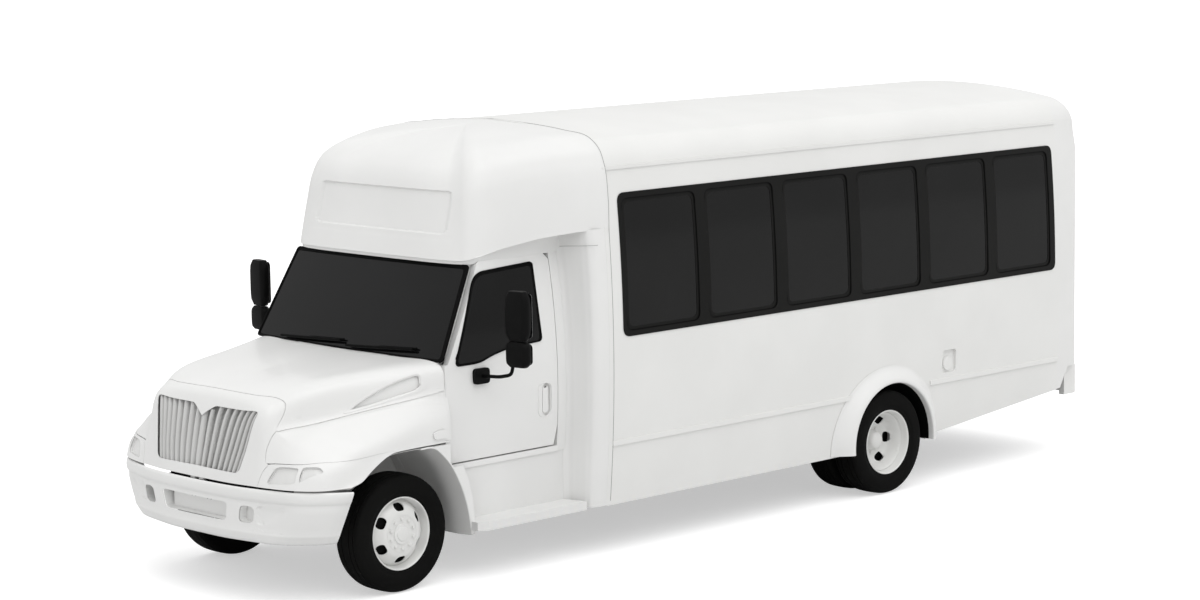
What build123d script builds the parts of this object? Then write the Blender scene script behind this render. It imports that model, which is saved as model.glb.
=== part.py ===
"""A shuttle bus: a passenger body on a bonneted medium truck chassis, as separate pieces.

Millimetres. +Z is up and z = 0 is the ground under the tyres, the bus drives towards -Y and +X is its
left side. The origin is on the ground in the middle of the length and width. Lengthwise places are
stations, measured back from the front axle, and sta() turns them into the frame's y.
"""

from build123d import *

import os
from math import cos, radians, sin

os.makedirs("parts", exist_ok=True)

# ---------------------------------------------------------------- driving dimensions
wheelbase = 4926.0
front_overhang = 1060.0  # front axle to the bumper's face
rear_overhang = 2674.0  # rear axle to the rear bumper's face

body_half_width = 1295.0  # widest, at the barrel's waist
barrel_z = 1560.0  # height of the waist
barrel_r = 11300.0  # radius of the barrelled sides
eaves_z = 2880.0  # top of the side walls
roof_z = 3170.0
skirt_z = 365.0  # lower edge of the side walls
body_front = 1810.0  # station where the passenger body starts
body_rear = wheelbase + 2270.0  # station where the rear cap starts
rear_face = wheelbase + rear_overhang - 80.0  # station of the rear cap's face
wall = 50.0  # thickness of the body's walls and caps
roof_wall = 40.0
seam = 1.0  # joint between two panels that touch in use through a thin strip
door_gap = 6.0  # gap round each door

tyre_r = 421.0
tyre_w = 248.0
rim_r = 262.0  # rim flange radius
front_track_x = 928.0  # middle of each front tyre
dual_outer_x = 1186.0  # middle of each outer rear tyre
dual_inner_x = 892.0
kingpin_x = 780.0
axle_gap = 6.0  # end gap between a wheel and what carries it

rail_x = 397.0  # middle of each frame rail
rail_w = 70.0
rail_depth = 210.0
rail_front, rail_rear = -920.0, wheelbase + 2374.0  # stations of the rails' ends
frame_fit = 0.3  # seat between two pieces that are fastened together

floor_top = 970.0
floor_t = 40.0
cab_floor_top = 845.0
cab_floor_t = 45.0
rail_top = cab_floor_top - cab_floor_t - frame_fit
rail_low = rail_top - rail_depth

front_axle_y = -(front_overhang + wheelbase + rear_overhang) / 2 + front_overhang


def sta(station):
    """The frame's y of a station behind the front axle."""
    return front_axle_y + station


def cross(station):
    """A plane across the bus at a station: local x is +X, local y is +Z. Extrude by minus for rearwards."""
    return Plane(origin=(0, sta(station), 0), x_dir=(1, 0, 0), z_dir=(0, -1, 0))


def side(x=0.0):
    """A plane along the bus: local x is +Y, local y is +Z, and it extrudes towards +X."""
    return Plane(origin=(x, 0, 0), x_dir=(0, 1, 0), z_dir=(1, 0, 0))


def barrel(z, inset=0.0):
    """Half width of the passenger body at a height, or of a surface inset from it."""
    return body_half_width - inset - (z - barrel_z) ** 2 / (2 * barrel_r)


def save(piece, name):
    """Labels a finished piece and writes it under its node's name."""
    piece.part.label = name
    export_step(piece.part, f"parts/{name}.step")


pin_r, pin_bore_r, barrel_hinge_r = 6.0, 6.3, 11.0  # door hinges
hinge_web = 10.0  # width of the arm from a hinge's axis to what it is fixed to
hinge_half, ear_low, ear_high = 14.0, 20.0, 28.0  # half height of a hinge's barrel, and its ears' levels


def hinge_ears(x, y, z, root):
    """Two ears with a pin between them, reaching from a root point to the hinge's axis at (x, y)."""
    with BuildPart() as ears:
        for low in (ear_low, -ear_high):
            with BuildSketch(Plane.XY.offset(z + low)):
                with BuildLine():
                    ends = Vector(x, y), Vector(*root)
                    across = (ends[1] - ends[0]).normalized().cross(Vector(0, 0, 1)) * (hinge_web / 2)
                    Polyline(
                        ends[0] + across, ends[1] + across, ends[1] - across, ends[0] - across, close=True
                    )
                make_face()
                with Locations((x, y)):
                    Circle(barrel_hinge_r)
            extrude(amount=ear_high - ear_low)
        with BuildSketch(Plane.XY.offset(z - ear_high)):
            with Locations((x, y)):
                Circle(pin_r)
        extrude(amount=2 * ear_high)
    return ears.part


def hinge_barrel(x, y, z, root):
    """The bored barrel that turns on the pin, with its leaf out to a root point."""
    with BuildPart() as barrel_piece:
        with BuildSketch(Plane.XY.offset(z - hinge_half)):
            with BuildLine():
                ends = Vector(x, y), Vector(*root)
                across = (ends[1] - ends[0]).normalized().cross(Vector(0, 0, 1)) * (hinge_web / 2)
                Polyline(ends[0] + across, ends[1] + across, ends[1] - across, ends[0] - across, close=True)
            make_face()
            with Locations((x, y)):
                Circle(barrel_hinge_r)
        extrude(amount=2 * hinge_half)
        with BuildSketch(Plane.XY.offset(z - hinge_half - 1)):
            with Locations((x, y)):
                Circle(pin_bore_r)
        extrude(amount=2 * hinge_half + 2, mode=Mode.SUBTRACT)
    return barrel_piece.part


def body_section(inset, low):
    """Closed outline across the passenger body: barrelled sides, round eaves and a crowned roof."""
    mid = (low + eaves_z) / 2
    side_low, side_mid, side_top = barrel(low, inset), barrel(mid, inset), barrel(eaves_z, inset)
    eave = (1164 - 0.76 * inset, roof_z - 182 - 0.66 * inset)
    knee = (1045 - 0.26 * inset, roof_z - 108 - 0.97 * inset)
    with BuildLine() as outline:
        Line((-side_low, low), (side_low, low))
        ThreePointArc((side_low, low), (side_mid, mid), (side_top, eaves_z))
        ThreePointArc((side_top, eaves_z), eave, knee)
        ThreePointArc(knee, (0, roof_z - inset), (-knee[0], knee[1]))
        ThreePointArc((-knee[0], knee[1]), (-eave[0], eave[1]), (-side_top, eaves_z))
        ThreePointArc((-side_top, eaves_z), (-side_mid, mid), (-side_low, low))
    return outline.line


# ---------------------------------------------------------------- side walls
band_front, band_rear = 1955.0, 7122.0  # stations of the side window band
band_low, band_top = 1613.0, 2672.0
band_round = 130.0
pane_pitch = 864.5
pane_w = 752.0
pane_first = 2372.0  # station of the first pane's middle
pane_low, pane_top = 1655.0, 2627.0
pane_round = 95.0
pane_count = 6
frame_t = 34.0  # window frame thickness, across the wall
glass_t = 8.0

arch_station = wheelbase + 40.0  # the flare sits a little behind the axle
arch_z = 420.0
arch_r = 505.0
flare_r = 600.0  # the flare's outline on the wall
flare_lip_r = 485.0
flare_lip_x = 1345.0
flare_drop = 40.0  # how far the flare reaches below the arch's centre

skirt_kick = 5600.0  # station where the skirt starts to rise
skirt_kick_z = 403.0
skirt_end_z = 560.0

drip_z, drip_h = 2868.0, 22.0
belt_z, belt_h = 832.0, 36.0
rail_proud = 12.0
drip_rail = (1825.0, body_rear - 6)
belt_rails = ((1850.0, wheelbase - 381), (wheelbase + 559, body_rear - 6))  # interrupted by the flare

entry_front, entry_rear = 1880.0, 2757.0  # stations of the entry doorway, on the right
entry_top = 2640.0
entry_low = 400.0

filler_station, filler_z, filler_w, filler_h = 5723.0, 989.0, 176.0, 188.0
filler_depth = 22.0
filler_cap_r = 58.0


def wall_band(sign):
    """Cross outline of one side wall, between its outer and inner arcs."""
    mid = (skirt_z + eaves_z) / 2
    levels = (skirt_z, mid, eaves_z)
    outer = [(sign * barrel(z), z) for z in levels]
    inner = [(sign * barrel(z, wall), z) for z in levels]
    with BuildLine() as outline:
        ThreePointArc(*outer)
        Line(outer[2], inner[2])
        ThreePointArc(inner[2], inner[1], inner[0])
        Line(inner[0], outer[0])
    return outline.line


def side_wall(sign, window_front):
    """One side wall with its rails, window opening, wheel arch and rising skirt."""
    with BuildPart() as panel:
        with BuildSketch(cross(body_front)):
            add(wall_band(sign))
            make_face()
        extrude(amount=-(body_rear - body_front))
        # skirt rising behind the rear wheel
        with BuildSketch(side()):
            with BuildLine():
                Polyline(
                    (sta(skirt_kick), skirt_z - 50),
                    (sta(skirt_kick), skirt_kick_z),
                    (sta(body_rear + 10), skirt_end_z),
                    (sta(body_rear + 10), skirt_z - 50),
                    close=True,
                )
            make_face()
        extrude(amount=sign * 1400, mode=Mode.SUBTRACT)
        with BuildSketch(side()):
            with Locations((sta(arch_station), arch_z)):
                Circle(arch_r)
            with Locations((sta(arch_station), arch_z - arch_r / 2)):
                Rectangle(2 * arch_r, arch_r)
        extrude(amount=sign * 1400, mode=Mode.SUBTRACT)
        with BuildSketch(side()):
            middle = (sta((window_front + band_rear) / 2), (band_low + band_top) / 2)
            with Locations(middle):
                RectangleRounded(band_rear - window_front, band_top - band_low, band_round)
        extrude(amount=sign * 1400, mode=Mode.SUBTRACT)
        for front, rear, z, h in (
            (*drip_rail, drip_z - drip_h, drip_h),
            *((*run, belt_z - belt_h / 2, belt_h) for run in belt_rails),
        ):
            with BuildSketch(cross(front)):
                x = barrel(z + h / 2)
                with Locations((sign * (x + rail_proud / 2 - 4), z + h / 2)):
                    Rectangle(rail_proud + 8, h)
            extrude(amount=-(rear - front))
    return panel.part


with BuildPart() as side_wall_left:
    add(side_wall(1, band_front))
    # shallow recess with the filler's round cap in it
    with BuildSketch(side(barrel(filler_z) - filler_depth)):
        with Locations((sta(filler_station), filler_z)):
            RectangleRounded(filler_w, filler_h, 28)
    extrude(amount=100, mode=Mode.SUBTRACT)
    with BuildSketch(side(barrel(filler_z) - filler_depth - 1)):
        with Locations((sta(filler_station) - 10, filler_z - 18)):
            Circle(filler_cap_r)
    extrude(amount=filler_depth - 4)
save(side_wall_left, "side_wall_left")

leaf_hinge_x = 1306.0
leaf_hinge_z = (900.0, 1560.0, 2250.0)
leaf_hinges = (  # name, station of the hinge's axis, and which way its leaf lies
    ("front", entry_front + door_gap / 2, 1), ("rear", entry_rear - door_gap / 2, -1),
)
right_window_front = pane_first + pane_pitch / 2 + 4  # the first bay on the right is the doorway
with BuildPart() as side_wall_right:
    add(side_wall(-1, right_window_front))
    with BuildSketch(side()):
        middle = (sta((entry_front + entry_rear) / 2), (entry_low + entry_top) / 2)
        with Locations(middle):
            Rectangle(entry_rear - entry_front, entry_top - entry_low)
    extrude(amount=-1400, mode=Mode.SUBTRACT)
    for _, station, way in leaf_hinges:
        for z in leaf_hinge_z:
            add(hinge_ears(-leaf_hinge_x, sta(station), z, (-barrel(z) + 12, sta(station - way * 26))))
save(side_wall_right, "side_wall_right")


def window_frame(sign, window_front, panes):
    """The dark frame that fills a window band, with its rounded pane openings."""
    mid = (band_low + band_top) / 2
    levels = (band_low - 20, mid, band_top + 20)
    outer_inset = 2.0
    outer = [(sign * barrel(z, outer_inset), z) for z in levels]
    inner = [(sign * barrel(z, outer_inset + frame_t), z) for z in levels]
    with BuildPart() as frame:
        with BuildSketch(cross(window_front)):
            with BuildLine():
                ThreePointArc(*outer)
                Line(outer[2], inner[2])
                ThreePointArc(inner[2], inner[1], inner[0])
                Line(inner[0], outer[0])
            make_face()
        extrude(amount=-(band_rear - window_front))
        with BuildSketch(side()):
            with Locations((sta((window_front + band_rear) / 2), mid)):
                RectangleRounded(
                    band_rear - window_front - 2 * frame_fit,
                    band_top - band_low - 2 * frame_fit,
                    band_round - frame_fit,
                )
        extrude(amount=sign * 1400, mode=Mode.INTERSECT)
        with BuildSketch(side()):
            with Locations(*[(sta(p), (pane_low + pane_top) / 2) for p in panes]):
                RectangleRounded(pane_w, pane_top - pane_low, pane_round)
        extrude(amount=sign * 1400, mode=Mode.SUBTRACT)
    return frame.part


def window_glass(sign, panes):
    """The panes of one side, each filling its opening in the frame."""
    mid = (pane_low + pane_top) / 2
    levels = (pane_low - 20, mid, pane_top + 20)
    outer = [(sign * barrel(z, 12), z) for z in levels]
    inner = [(sign * barrel(z, 12 + glass_t), z) for z in levels]
    with BuildPart() as glass:
        with BuildSketch(cross(panes[0] - pane_w)):
            with BuildLine():
                ThreePointArc(*outer)
                Line(outer[2], inner[2])
                ThreePointArc(inner[2], inner[1], inner[0])
                Line(inner[0], outer[0])
            make_face()
        extrude(amount=-(panes[-1] - panes[0] + 2 * pane_w))
        with BuildSketch(side()):
            with Locations(*[(sta(p), mid) for p in panes]):
                RectangleRounded(
                    pane_w - 2 * frame_fit, pane_top - pane_low - 2 * frame_fit, pane_round - frame_fit
                )
        extrude(amount=sign * 1400, mode=Mode.INTERSECT)
    return glass.part


left_panes = [pane_first + i * pane_pitch for i in range(pane_count)]
right_panes = left_panes[1:]
with BuildPart() as window_frame_left:
    add(window_frame(1, band_front, left_panes))
save(window_frame_left, "window_frame_left")
with BuildPart() as window_frame_right:
    add(window_frame(-1, right_window_front, right_panes))
save(window_frame_right, "window_frame_right")
with BuildPart() as window_glass_left:
    add(window_glass(1, left_panes))
save(window_glass_left, "window_glass_left")
with BuildPart() as window_glass_right:
    add(window_glass(-1, right_panes))
save(window_glass_right, "window_glass_right")

# ---------------------------------------------------------------- roof
with BuildPart() as roof:
    with BuildSketch(cross(body_front)):
        add(body_section(0, eaves_z - 200))
        make_face()
        with BuildSketch(cross(body_front), mode=Mode.PRIVATE) as void:
            add(body_section(roof_wall, eaves_z - 200))
            make_face()
        add(void.sketch, mode=Mode.SUBTRACT)
        with Locations((0, eaves_z - 200)):
            Rectangle(3000, 400, mode=Mode.SUBTRACT)
    extrude(amount=-(body_rear - body_front))
save(roof, "roof")

# ---------------------------------------------------------------- rear cap
cap_low = 560.0  # lower edge of the cap's sides where it meets the walls
cap_corner = 180.0  # plan radius of the rear corners


def rear_envelope(inset):
    """The rear cap's outer form, or the hollow inset within it."""
    low = 400.0
    with BuildPart() as envelope:
        with BuildSketch(cross(body_rear - 1)):
            add(body_section(inset, low))
            make_face()
        extrude(amount=-500)
        with BuildSketch(Plane.XY):
            with Locations((0, sta(rear_face - inset) - 500)):
                RectangleRounded(2 * (body_half_width + 1 - inset), 1000, cap_corner - 0.5 * inset)
        extrude(amount=3400, mode=Mode.INTERSECT)
        with BuildSketch(side()):
            with BuildLine():
                face = [(rear_face - 75, low), (rear_face, 1700.0), (rear_face - 70, 2780.0)]
                face = [(sta(s) - inset, z) for s, z in face]
                crest = (sta(rear_face - 330), roof_z + 40 - inset)
                ThreePointArc(*face)
                ThreePointArc(face[2], (sta(rear_face - 125) - inset, 3030.0 - inset), crest)
                Polyline(crest, (crest[0] - 800, crest[1]), (crest[0] - 800, low), face[0])
            make_face()
        extrude(amount=1400, both=True, mode=Mode.INTERSECT)
    return envelope.part


rear_door_w, rear_door_low, rear_door_top = 860.0, floor_top + 10, 2500.0
plate_x, plate_z, plate_bolts, plate_hole_r = 790.0, 1010.0, 178.0, 3.5
lamp_x, lamp_w = 1010.0, 130.0
lamp_rows = ((1180.0, 150.0), (1360.0, 150.0), (1540.0, 150.0))  # z, height
rear_hinge = (-(rear_door_w + door_gap) / 2, rear_face + 12)  # x and station of the rear door's hinges
rear_hinge_z = ((1150.0, 20.0), (1700.0, 4.0), (2250.0, 24.0))  # height, and the face's fall there
cap_outer = rear_envelope(0)
cap_inner = rear_envelope(wall)
with BuildPart() as rear_cap:
    add(cap_outer)
    add(cap_inner, mode=Mode.SUBTRACT)
    with BuildSketch(side()):  # lower edge, cut up under the rear bumper
        with BuildLine():
            Polyline(
                (sta(body_rear - 20), 300),
                (sta(body_rear - 20), cap_low),
                (sta(body_rear + 60), cap_low + 10),
                (sta(body_rear + 150), cap_low + 190),
                (sta(rear_face + 50), cap_low + 190),
                (sta(rear_face + 50), 300),
                close=True,
            )
        make_face()
    extrude(amount=1400, both=True, mode=Mode.SUBTRACT)
    with BuildSketch(cross(rear_face - 300)):
        with Locations((0, (rear_door_low + rear_door_top) / 2)):
            Rectangle(rear_door_w + 2 * door_gap, rear_door_top - rear_door_low + 2 * door_gap)
        for x in (-lamp_x, lamp_x):
            for z, h in lamp_rows:
                with Locations((x, z)):
                    Rectangle(lamp_w + 2 * frame_fit, h + 2 * frame_fit)
        with Locations(*[(plate_x + s * plate_bolts / 2, plate_z) for s in (-1, 1)]):
            Circle(plate_hole_r)
    extrude(amount=-500, mode=Mode.SUBTRACT)
    split(bisect_by=Plane.XZ.offset(-sta(body_rear)), keep=Keep.BOTTOM)
    for z, fall in rear_hinge_z:
        add(hinge_ears(rear_hinge[0], sta(rear_hinge[1]), z, (rear_hinge[0] - 26, sta(rear_face - fall - 14))))
save(rear_cap, "rear_cap")

# ---------------------------------------------------------------- front cap over the cab
cap_front = 780.0  # station of the cap's lower front edge
cab_rear = 1585.0  # station of the cab's rear edge
cab_top = 2290.0
cap_lip = 2252.0  # lower edge of the cap's lip, in front of the cab's roof


def front_envelope(inset):
    """The over-cab cap's outer form, or the hollow inset within it."""
    with BuildPart() as envelope:
        with BuildSketch(cross(cap_front - 200)):
            add(body_section(inset, 2000))
            make_face()
        extrude(amount=-(body_front - cap_front + 200 + (1 if inset else 0)))
        with BuildSketch(Plane.XY):
            half = [(740 - inset * 0.8, 840 + inset), (985 - inset, 1010 + inset * 0.3)]
            flank = [(1232 - inset, 1660.0), (1300 - inset, body_front + 1)]
            with BuildLine():
                ThreePointArc(
                    (-half[0][0], sta(half[0][1])), (0, sta(cap_front + inset)), (half[0][0], sta(half[0][1]))
                )
                for s in (-1, 1):
                    bulge = (s * (905 - inset * 0.9), sta(895 + inset * 0.7))
                    ThreePointArc(
                        (s * half[0][0], sta(half[0][1])), bulge, (s * half[1][0], sta(half[1][1]))
                    )
                    Polyline(*[(s * x, sta(y)) for x, y in (half[1], *flank)])
                Line(*[(s * flank[1][0], sta(flank[1][1])) for s in (-1, 1)])
            make_face()
        extrude(amount=3400, mode=Mode.INTERSECT)
        with BuildSketch(side()):
            with BuildLine():
                face_top = (sta(cap_front + 70) + inset, 2760 - inset * 0.5)
                brow = (sta(1020) + inset * 0.5, 2975 - inset)
                dome = (sta(1350), 3118 - inset)
                lip = [(806, cab_top + inset), (792 + inset, cap_lip + inset), (cap_front + inset, cap_lip + inset)]
                Polyline((sta(body_front + 2), cab_top + inset), *[(sta(y), z) for y, z in lip], face_top)
                ThreePointArc(face_top, (sta(925) + inset * 0.7, 2895 - inset * 0.8), brow)
                Line(brow, dome)
                Line(dome, (sta(body_front + 2), roof_z + 12 - inset))
                Line((sta(body_front + 2), roof_z + 12 - inset), (sta(body_front + 2), cab_top + inset))
            make_face()
        extrude(amount=1400, both=True, mode=Mode.INTERSECT)
    return envelope.part


sign_w, sign_low, sign_top, sign_depth = 1464.0, 2439.0, 2745.0, 14.0
nose_outer = front_envelope(0)
nose_inner = front_envelope(wall)
with BuildPart() as front_cap:
    add(nose_outer)
    # under each side the cap is cut back to the cab's roof
    with BuildSketch(cross(cap_front - 50)):
        for s in (-1, 1):
            with BuildLine():
                Polyline(
                    (s * 985, cab_top),
                    (s * 1400, cab_top + 215),
                    (s * 1400, cab_top - 300),
                    (s * 985, cab_top - 300),
                    close=True,
                )
            make_face()
    extrude(amount=-(1690 - cap_front + 50), mode=Mode.SUBTRACT)
    add(nose_inner, mode=Mode.SUBTRACT)
    with BuildSketch(cross(cap_front - 50)):
        with Locations((0, (sign_low + sign_top) / 2)):
            RectangleRounded(sign_w, sign_top - sign_low, 40)
    extrude(amount=-(50 + 62 + sign_depth), mode=Mode.SUBTRACT)
save(front_cap, "front_cap")

# ---------------------------------------------------------------- fairings beside the cab
fairing_low = 385.0
with BuildPart() as fairing_section:
    with BuildSketch(cross(cab_rear)):
        add(body_section(0, fairing_low))
        make_face()
    extrude(amount=-(body_front - cab_rear))
with BuildPart() as front_fairings:
    with BuildSketch(Plane.XY.offset(fairing_low)):
        with BuildLine():
            Polyline(
                (1004, sta(cab_rear)),
                (1064, sta(cab_rear)),
                (1205, sta(1655)),
                (1262, sta(1708)),
                (1320, sta(body_front)),
                (1225, sta(body_front)),
                (1180, sta(1725)),
                (1004, sta(1640)),
                close=True,
            )
        make_face()
    extrude(amount=cab_top - fairing_low)
    add(fairing_section.part, mode=Mode.INTERSECT)
    mirror(about=Plane.YZ)
save(front_fairings, "front_fairings")

# ---------------------------------------------------------------- cab
cab_front = 405.0  # station of the cab's front
cowl_z = 1575.0
screen_low = (430.0, 1590.0)  # station and height of the windscreen's lower edge
screen_top = (770.0, 2228.0)
screen_half_low, screen_half_top = 1000.0, 915.0
door_t = 50.0
door_front, door_rear = 415.0, 1500.0
door_low, door_top = 851.0, 2282.0
door_hinge = (1030.0, 450.0)  # x and station of the hinges' axis
door_hinge_z = (1080.0, 1440.0)
door_sweep_r = 66.0
door_reveal = 8.0  # between the door's inner face and the cab's posts


def cab_side(z, inset=0.0):
    """Half width of the cab at a height."""
    return 1064 - inset - (z - 1330) ** 2 / 9600


def cab_section(inset, low, high):
    """Closed outline across the cab, between two heights."""
    levels = (low, (low + high) / 2, high)
    right = [(cab_side(z, inset), z) for z in levels]
    left = [(-x, z) for x, z in right]
    with BuildLine() as outline:
        ThreePointArc(*right)
        Line(right[2], left[2])
        ThreePointArc(left[2], left[1], left[0])
        Line(left[0], right[0])
    return outline.line


post_inset = door_t + door_reveal
cab_floor_low = cab_floor_top - cab_floor_t
screen_rake = (screen_top[0] - screen_low[0]) / (screen_top[1] - screen_low[1])


screen_seat = (glass_t + frame_fit) * (1 + screen_rake**2) ** 0.5  # along the bus, face to seat


def screen_station(z, back=0.0):
    """Station of the windscreen's outer face at a height, or of a face a little behind it."""
    return screen_low[0] + back + (z - screen_low[1]) * screen_rake


with BuildPart() as cab_shell:
    with BuildSketch(cross(cab_front)):
        add(cab_section(post_inset, cab_floor_low, cab_top))
        make_face()
    extrude(amount=-(cab_rear - cab_front))
    with BuildSketch(side()):  # profile with the raked windscreen
        with BuildLine():
            Polyline(
                (sta(cab_front), cab_floor_low),
                (sta(cab_front), cowl_z),
                (sta(screen_station(cowl_z, screen_seat)), cowl_z),
                (sta(screen_station(cab_top, screen_seat)), cab_top),
                (sta(cab_rear), cab_top),
                (sta(cab_rear), cab_floor_low),
                close=True,
            )
        make_face()
    extrude(amount=1400, both=True, mode=Mode.INTERSECT)
    with BuildSketch(cross(cab_front + 45)):  # hollow inside, open to the rear
        with BuildLine():
            Polyline(
                (935, cab_floor_top), (935, 1700), (860, cab_top - 50),
                (-860, cab_top - 50), (-935, 1700), (-935, cab_floor_top), close=True,
            )
        make_face()
    extrude(amount=-1300, mode=Mode.SUBTRACT)
    with BuildSketch(cross(cab_front - 5)):  # windscreen opening
        with BuildLine():
            Polyline(
                (screen_half_low - 75, screen_low[1] + 20), (screen_half_top - 75, screen_top[1] - 30),
                (75 - screen_half_top, screen_top[1] - 30), (75 - screen_half_low, screen_low[1] + 20),
                close=True,
            )
        make_face()
    extrude(amount=-500, mode=Mode.SUBTRACT)
    with BuildSketch(side()):  # door openings
        with BuildLine():
            Polyline(
                (sta(door_front + 60), door_low + 10),
                (sta(door_front + 60), 1570),
                (sta(screen_station(1590, 110)), 1590),
                (sta(screen_station(door_top - 90, 110)), door_top - 90),
                (sta(door_rear - 50), door_top - 90),
                (sta(door_rear - 50), door_low + 10),
                close=True,
            )
        make_face()
    extrude(amount=1400, both=True, mode=Mode.SUBTRACT)
    # rear posts, out to the cab's own side, in line with the fairings
    with BuildSketch(cross(door_rear + door_gap)):
        add(cab_section(0, cab_floor_low, cab_top))
        make_face()
        with Locations((0, (cab_floor_top + cab_top - 50) / 2)):
            Rectangle(1800, cab_top - 50 - cab_floor_top, mode=Mode.SUBTRACT)
    extrude(amount=-(cab_rear - door_rear - door_gap))
    # sill rail under each door
    with BuildSketch(cross(door_front + 60)):
        for s in (-1, 1):
            with Locations((s * 995, cab_floor_low + 20)):
                Rectangle(95, 40)
    extrude(amount=-(door_rear + door_gap - door_front - 60))
    with BuildSketch(Plane.XY.offset(door_low - 10)):  # room for each door's front edge as it swings
        with Locations(*[(s * door_hinge[0], sta(door_hinge[1])) for s in (-1, 1)]):
            Circle(door_sweep_r)
    extrude(amount=1610 - door_low, mode=Mode.SUBTRACT)
    for z in door_hinge_z:
        for s in (-1, 1):
            add(hinge_ears(s * door_hinge[0], sta(door_hinge[1]), z, (s * 950, sta(door_hinge[1]))))
save(cab_shell, "cab_shell")

screen_plane = Plane(
    origin=(0, sta(screen_low[0]), screen_low[1]),
    x_dir=(1, 0, 0),
    z_dir=(0, -1, screen_rake),
)
screen_h = ((screen_top[0] - screen_low[0]) ** 2 + (screen_top[1] - screen_low[1]) ** 2) ** 0.5
with BuildPart() as windscreen:
    with BuildSketch(screen_plane):
        with BuildLine():
            Polyline(
                (screen_half_low, 0), (screen_half_top, screen_h),
                (-screen_half_top, screen_h), (-screen_half_low, 0), close=True,
            )
        make_face()
    extrude(amount=-glass_t)
save(windscreen, "windscreen")

# ---------------------------------------------------------------- bonnet, with the wings and the nose
bonnet_rear = 385.0
nose_low = 845.0  # lower edge of the nose, over the bumper
wing_low = 1025.0  # lower edge of the wings, over the wheels
shell_t = 30.0
# half sections: station, then (x, z) of crown edge, shoulder, valley, wing crown, wing side
bonnet_table = (
    (-1100.0, (400, 1385), (560, 1335), (650, 1190), (880, 1130), (1070, 1040), (1150, 900)),
    (-600.0, (470, 1470), (640, 1415), (745, 1270), (930, 1205), (1100, 1105), (1176, 970)),
    (0.0, (600, 1530), (760, 1480), (880, 1360), (1000, 1300), (1110, 1195), (1142, 1060)),
    (400.0, (780, 1562), (905, 1515), (985, 1400), (1045, 1320), (1095, 1200), (1112, 1060)),
)
crown_rise = 22.0  # how far the bonnet's middle stands over its crown edge


def bonnet_form(inset):
    """The bonnet, wings and nose as one closed form, or the hollow inset within it."""
    drop = 0.8 * inset
    with BuildPart() as form:
        for station, *corners in bonnet_table:
            right = [(x - drop, z - inset) for x, z in corners]
            right.append((corners[-1][0] - inset, 500.0))
            with BuildSketch(cross(station)):
                with BuildLine():
                    top = right[0]
                    ThreePointArc((-top[0], top[1]), (0, top[1] + crown_rise), top)
                    Polyline(*right)
                    Line(right[-1], (-right[-1][0], right[-1][1]))
                    Polyline(*[(-x, z) for x, z in right])
                make_face()
        loft(ruled=True)
        with BuildSketch(Plane.XY):  # bowed nose, from above
            bow = [(0, -1002), (500, -985), (880, -905), (1116, -748), (1181, -553)]
            bow = [(x - inset, y + inset) if x else (x, y + inset) for x, y in bow]
            with BuildLine():
                ThreePointArc(
                    (-bow[1][0], sta(bow[1][1])), (0, sta(bow[0][1])), (bow[1][0], sta(bow[1][1]))
                )
                for s in (-1, 1):
                    edge = [(s * x, sta(y)) for x, y in bow[1:]]
                    ThreePointArc(edge[0], edge[1], edge[2])
                    Line(edge[2], edge[3])
                    Line(edge[3], (s * (1200 - inset), sta(bonnet_rear + inset * 0.1)))
                rear_y = sta(bonnet_rear + inset * 0.1)
                Line((-(1200 - inset), rear_y), (1200 - inset, rear_y))
            make_face()
        extrude(amount=2000, mode=Mode.INTERSECT)
        with BuildSketch(side()):  # raked nose, from the side
            with BuildLine():
                nose = [(-1002, 845), (-950, 925), (-884, 1300), (-790, 1440)]
                nose = [(sta(y) + inset, z) for y, z in nose]
                Polyline((nose[0][0], 400), *nose[:3])
                ThreePointArc(nose[2], (sta(-858) + inset, 1385), nose[3])
                Line(nose[3], (nose[3][0], 1700))
                Polyline(
                    (nose[3][0], 1700), (sta(bonnet_rear + 5), 1700), (sta(bonnet_rear + 5), 400), (nose[0][0], 400)
                )
            make_face()
        extrude(amount=1400, both=True, mode=Mode.INTERSECT)
    return form.part


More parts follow.
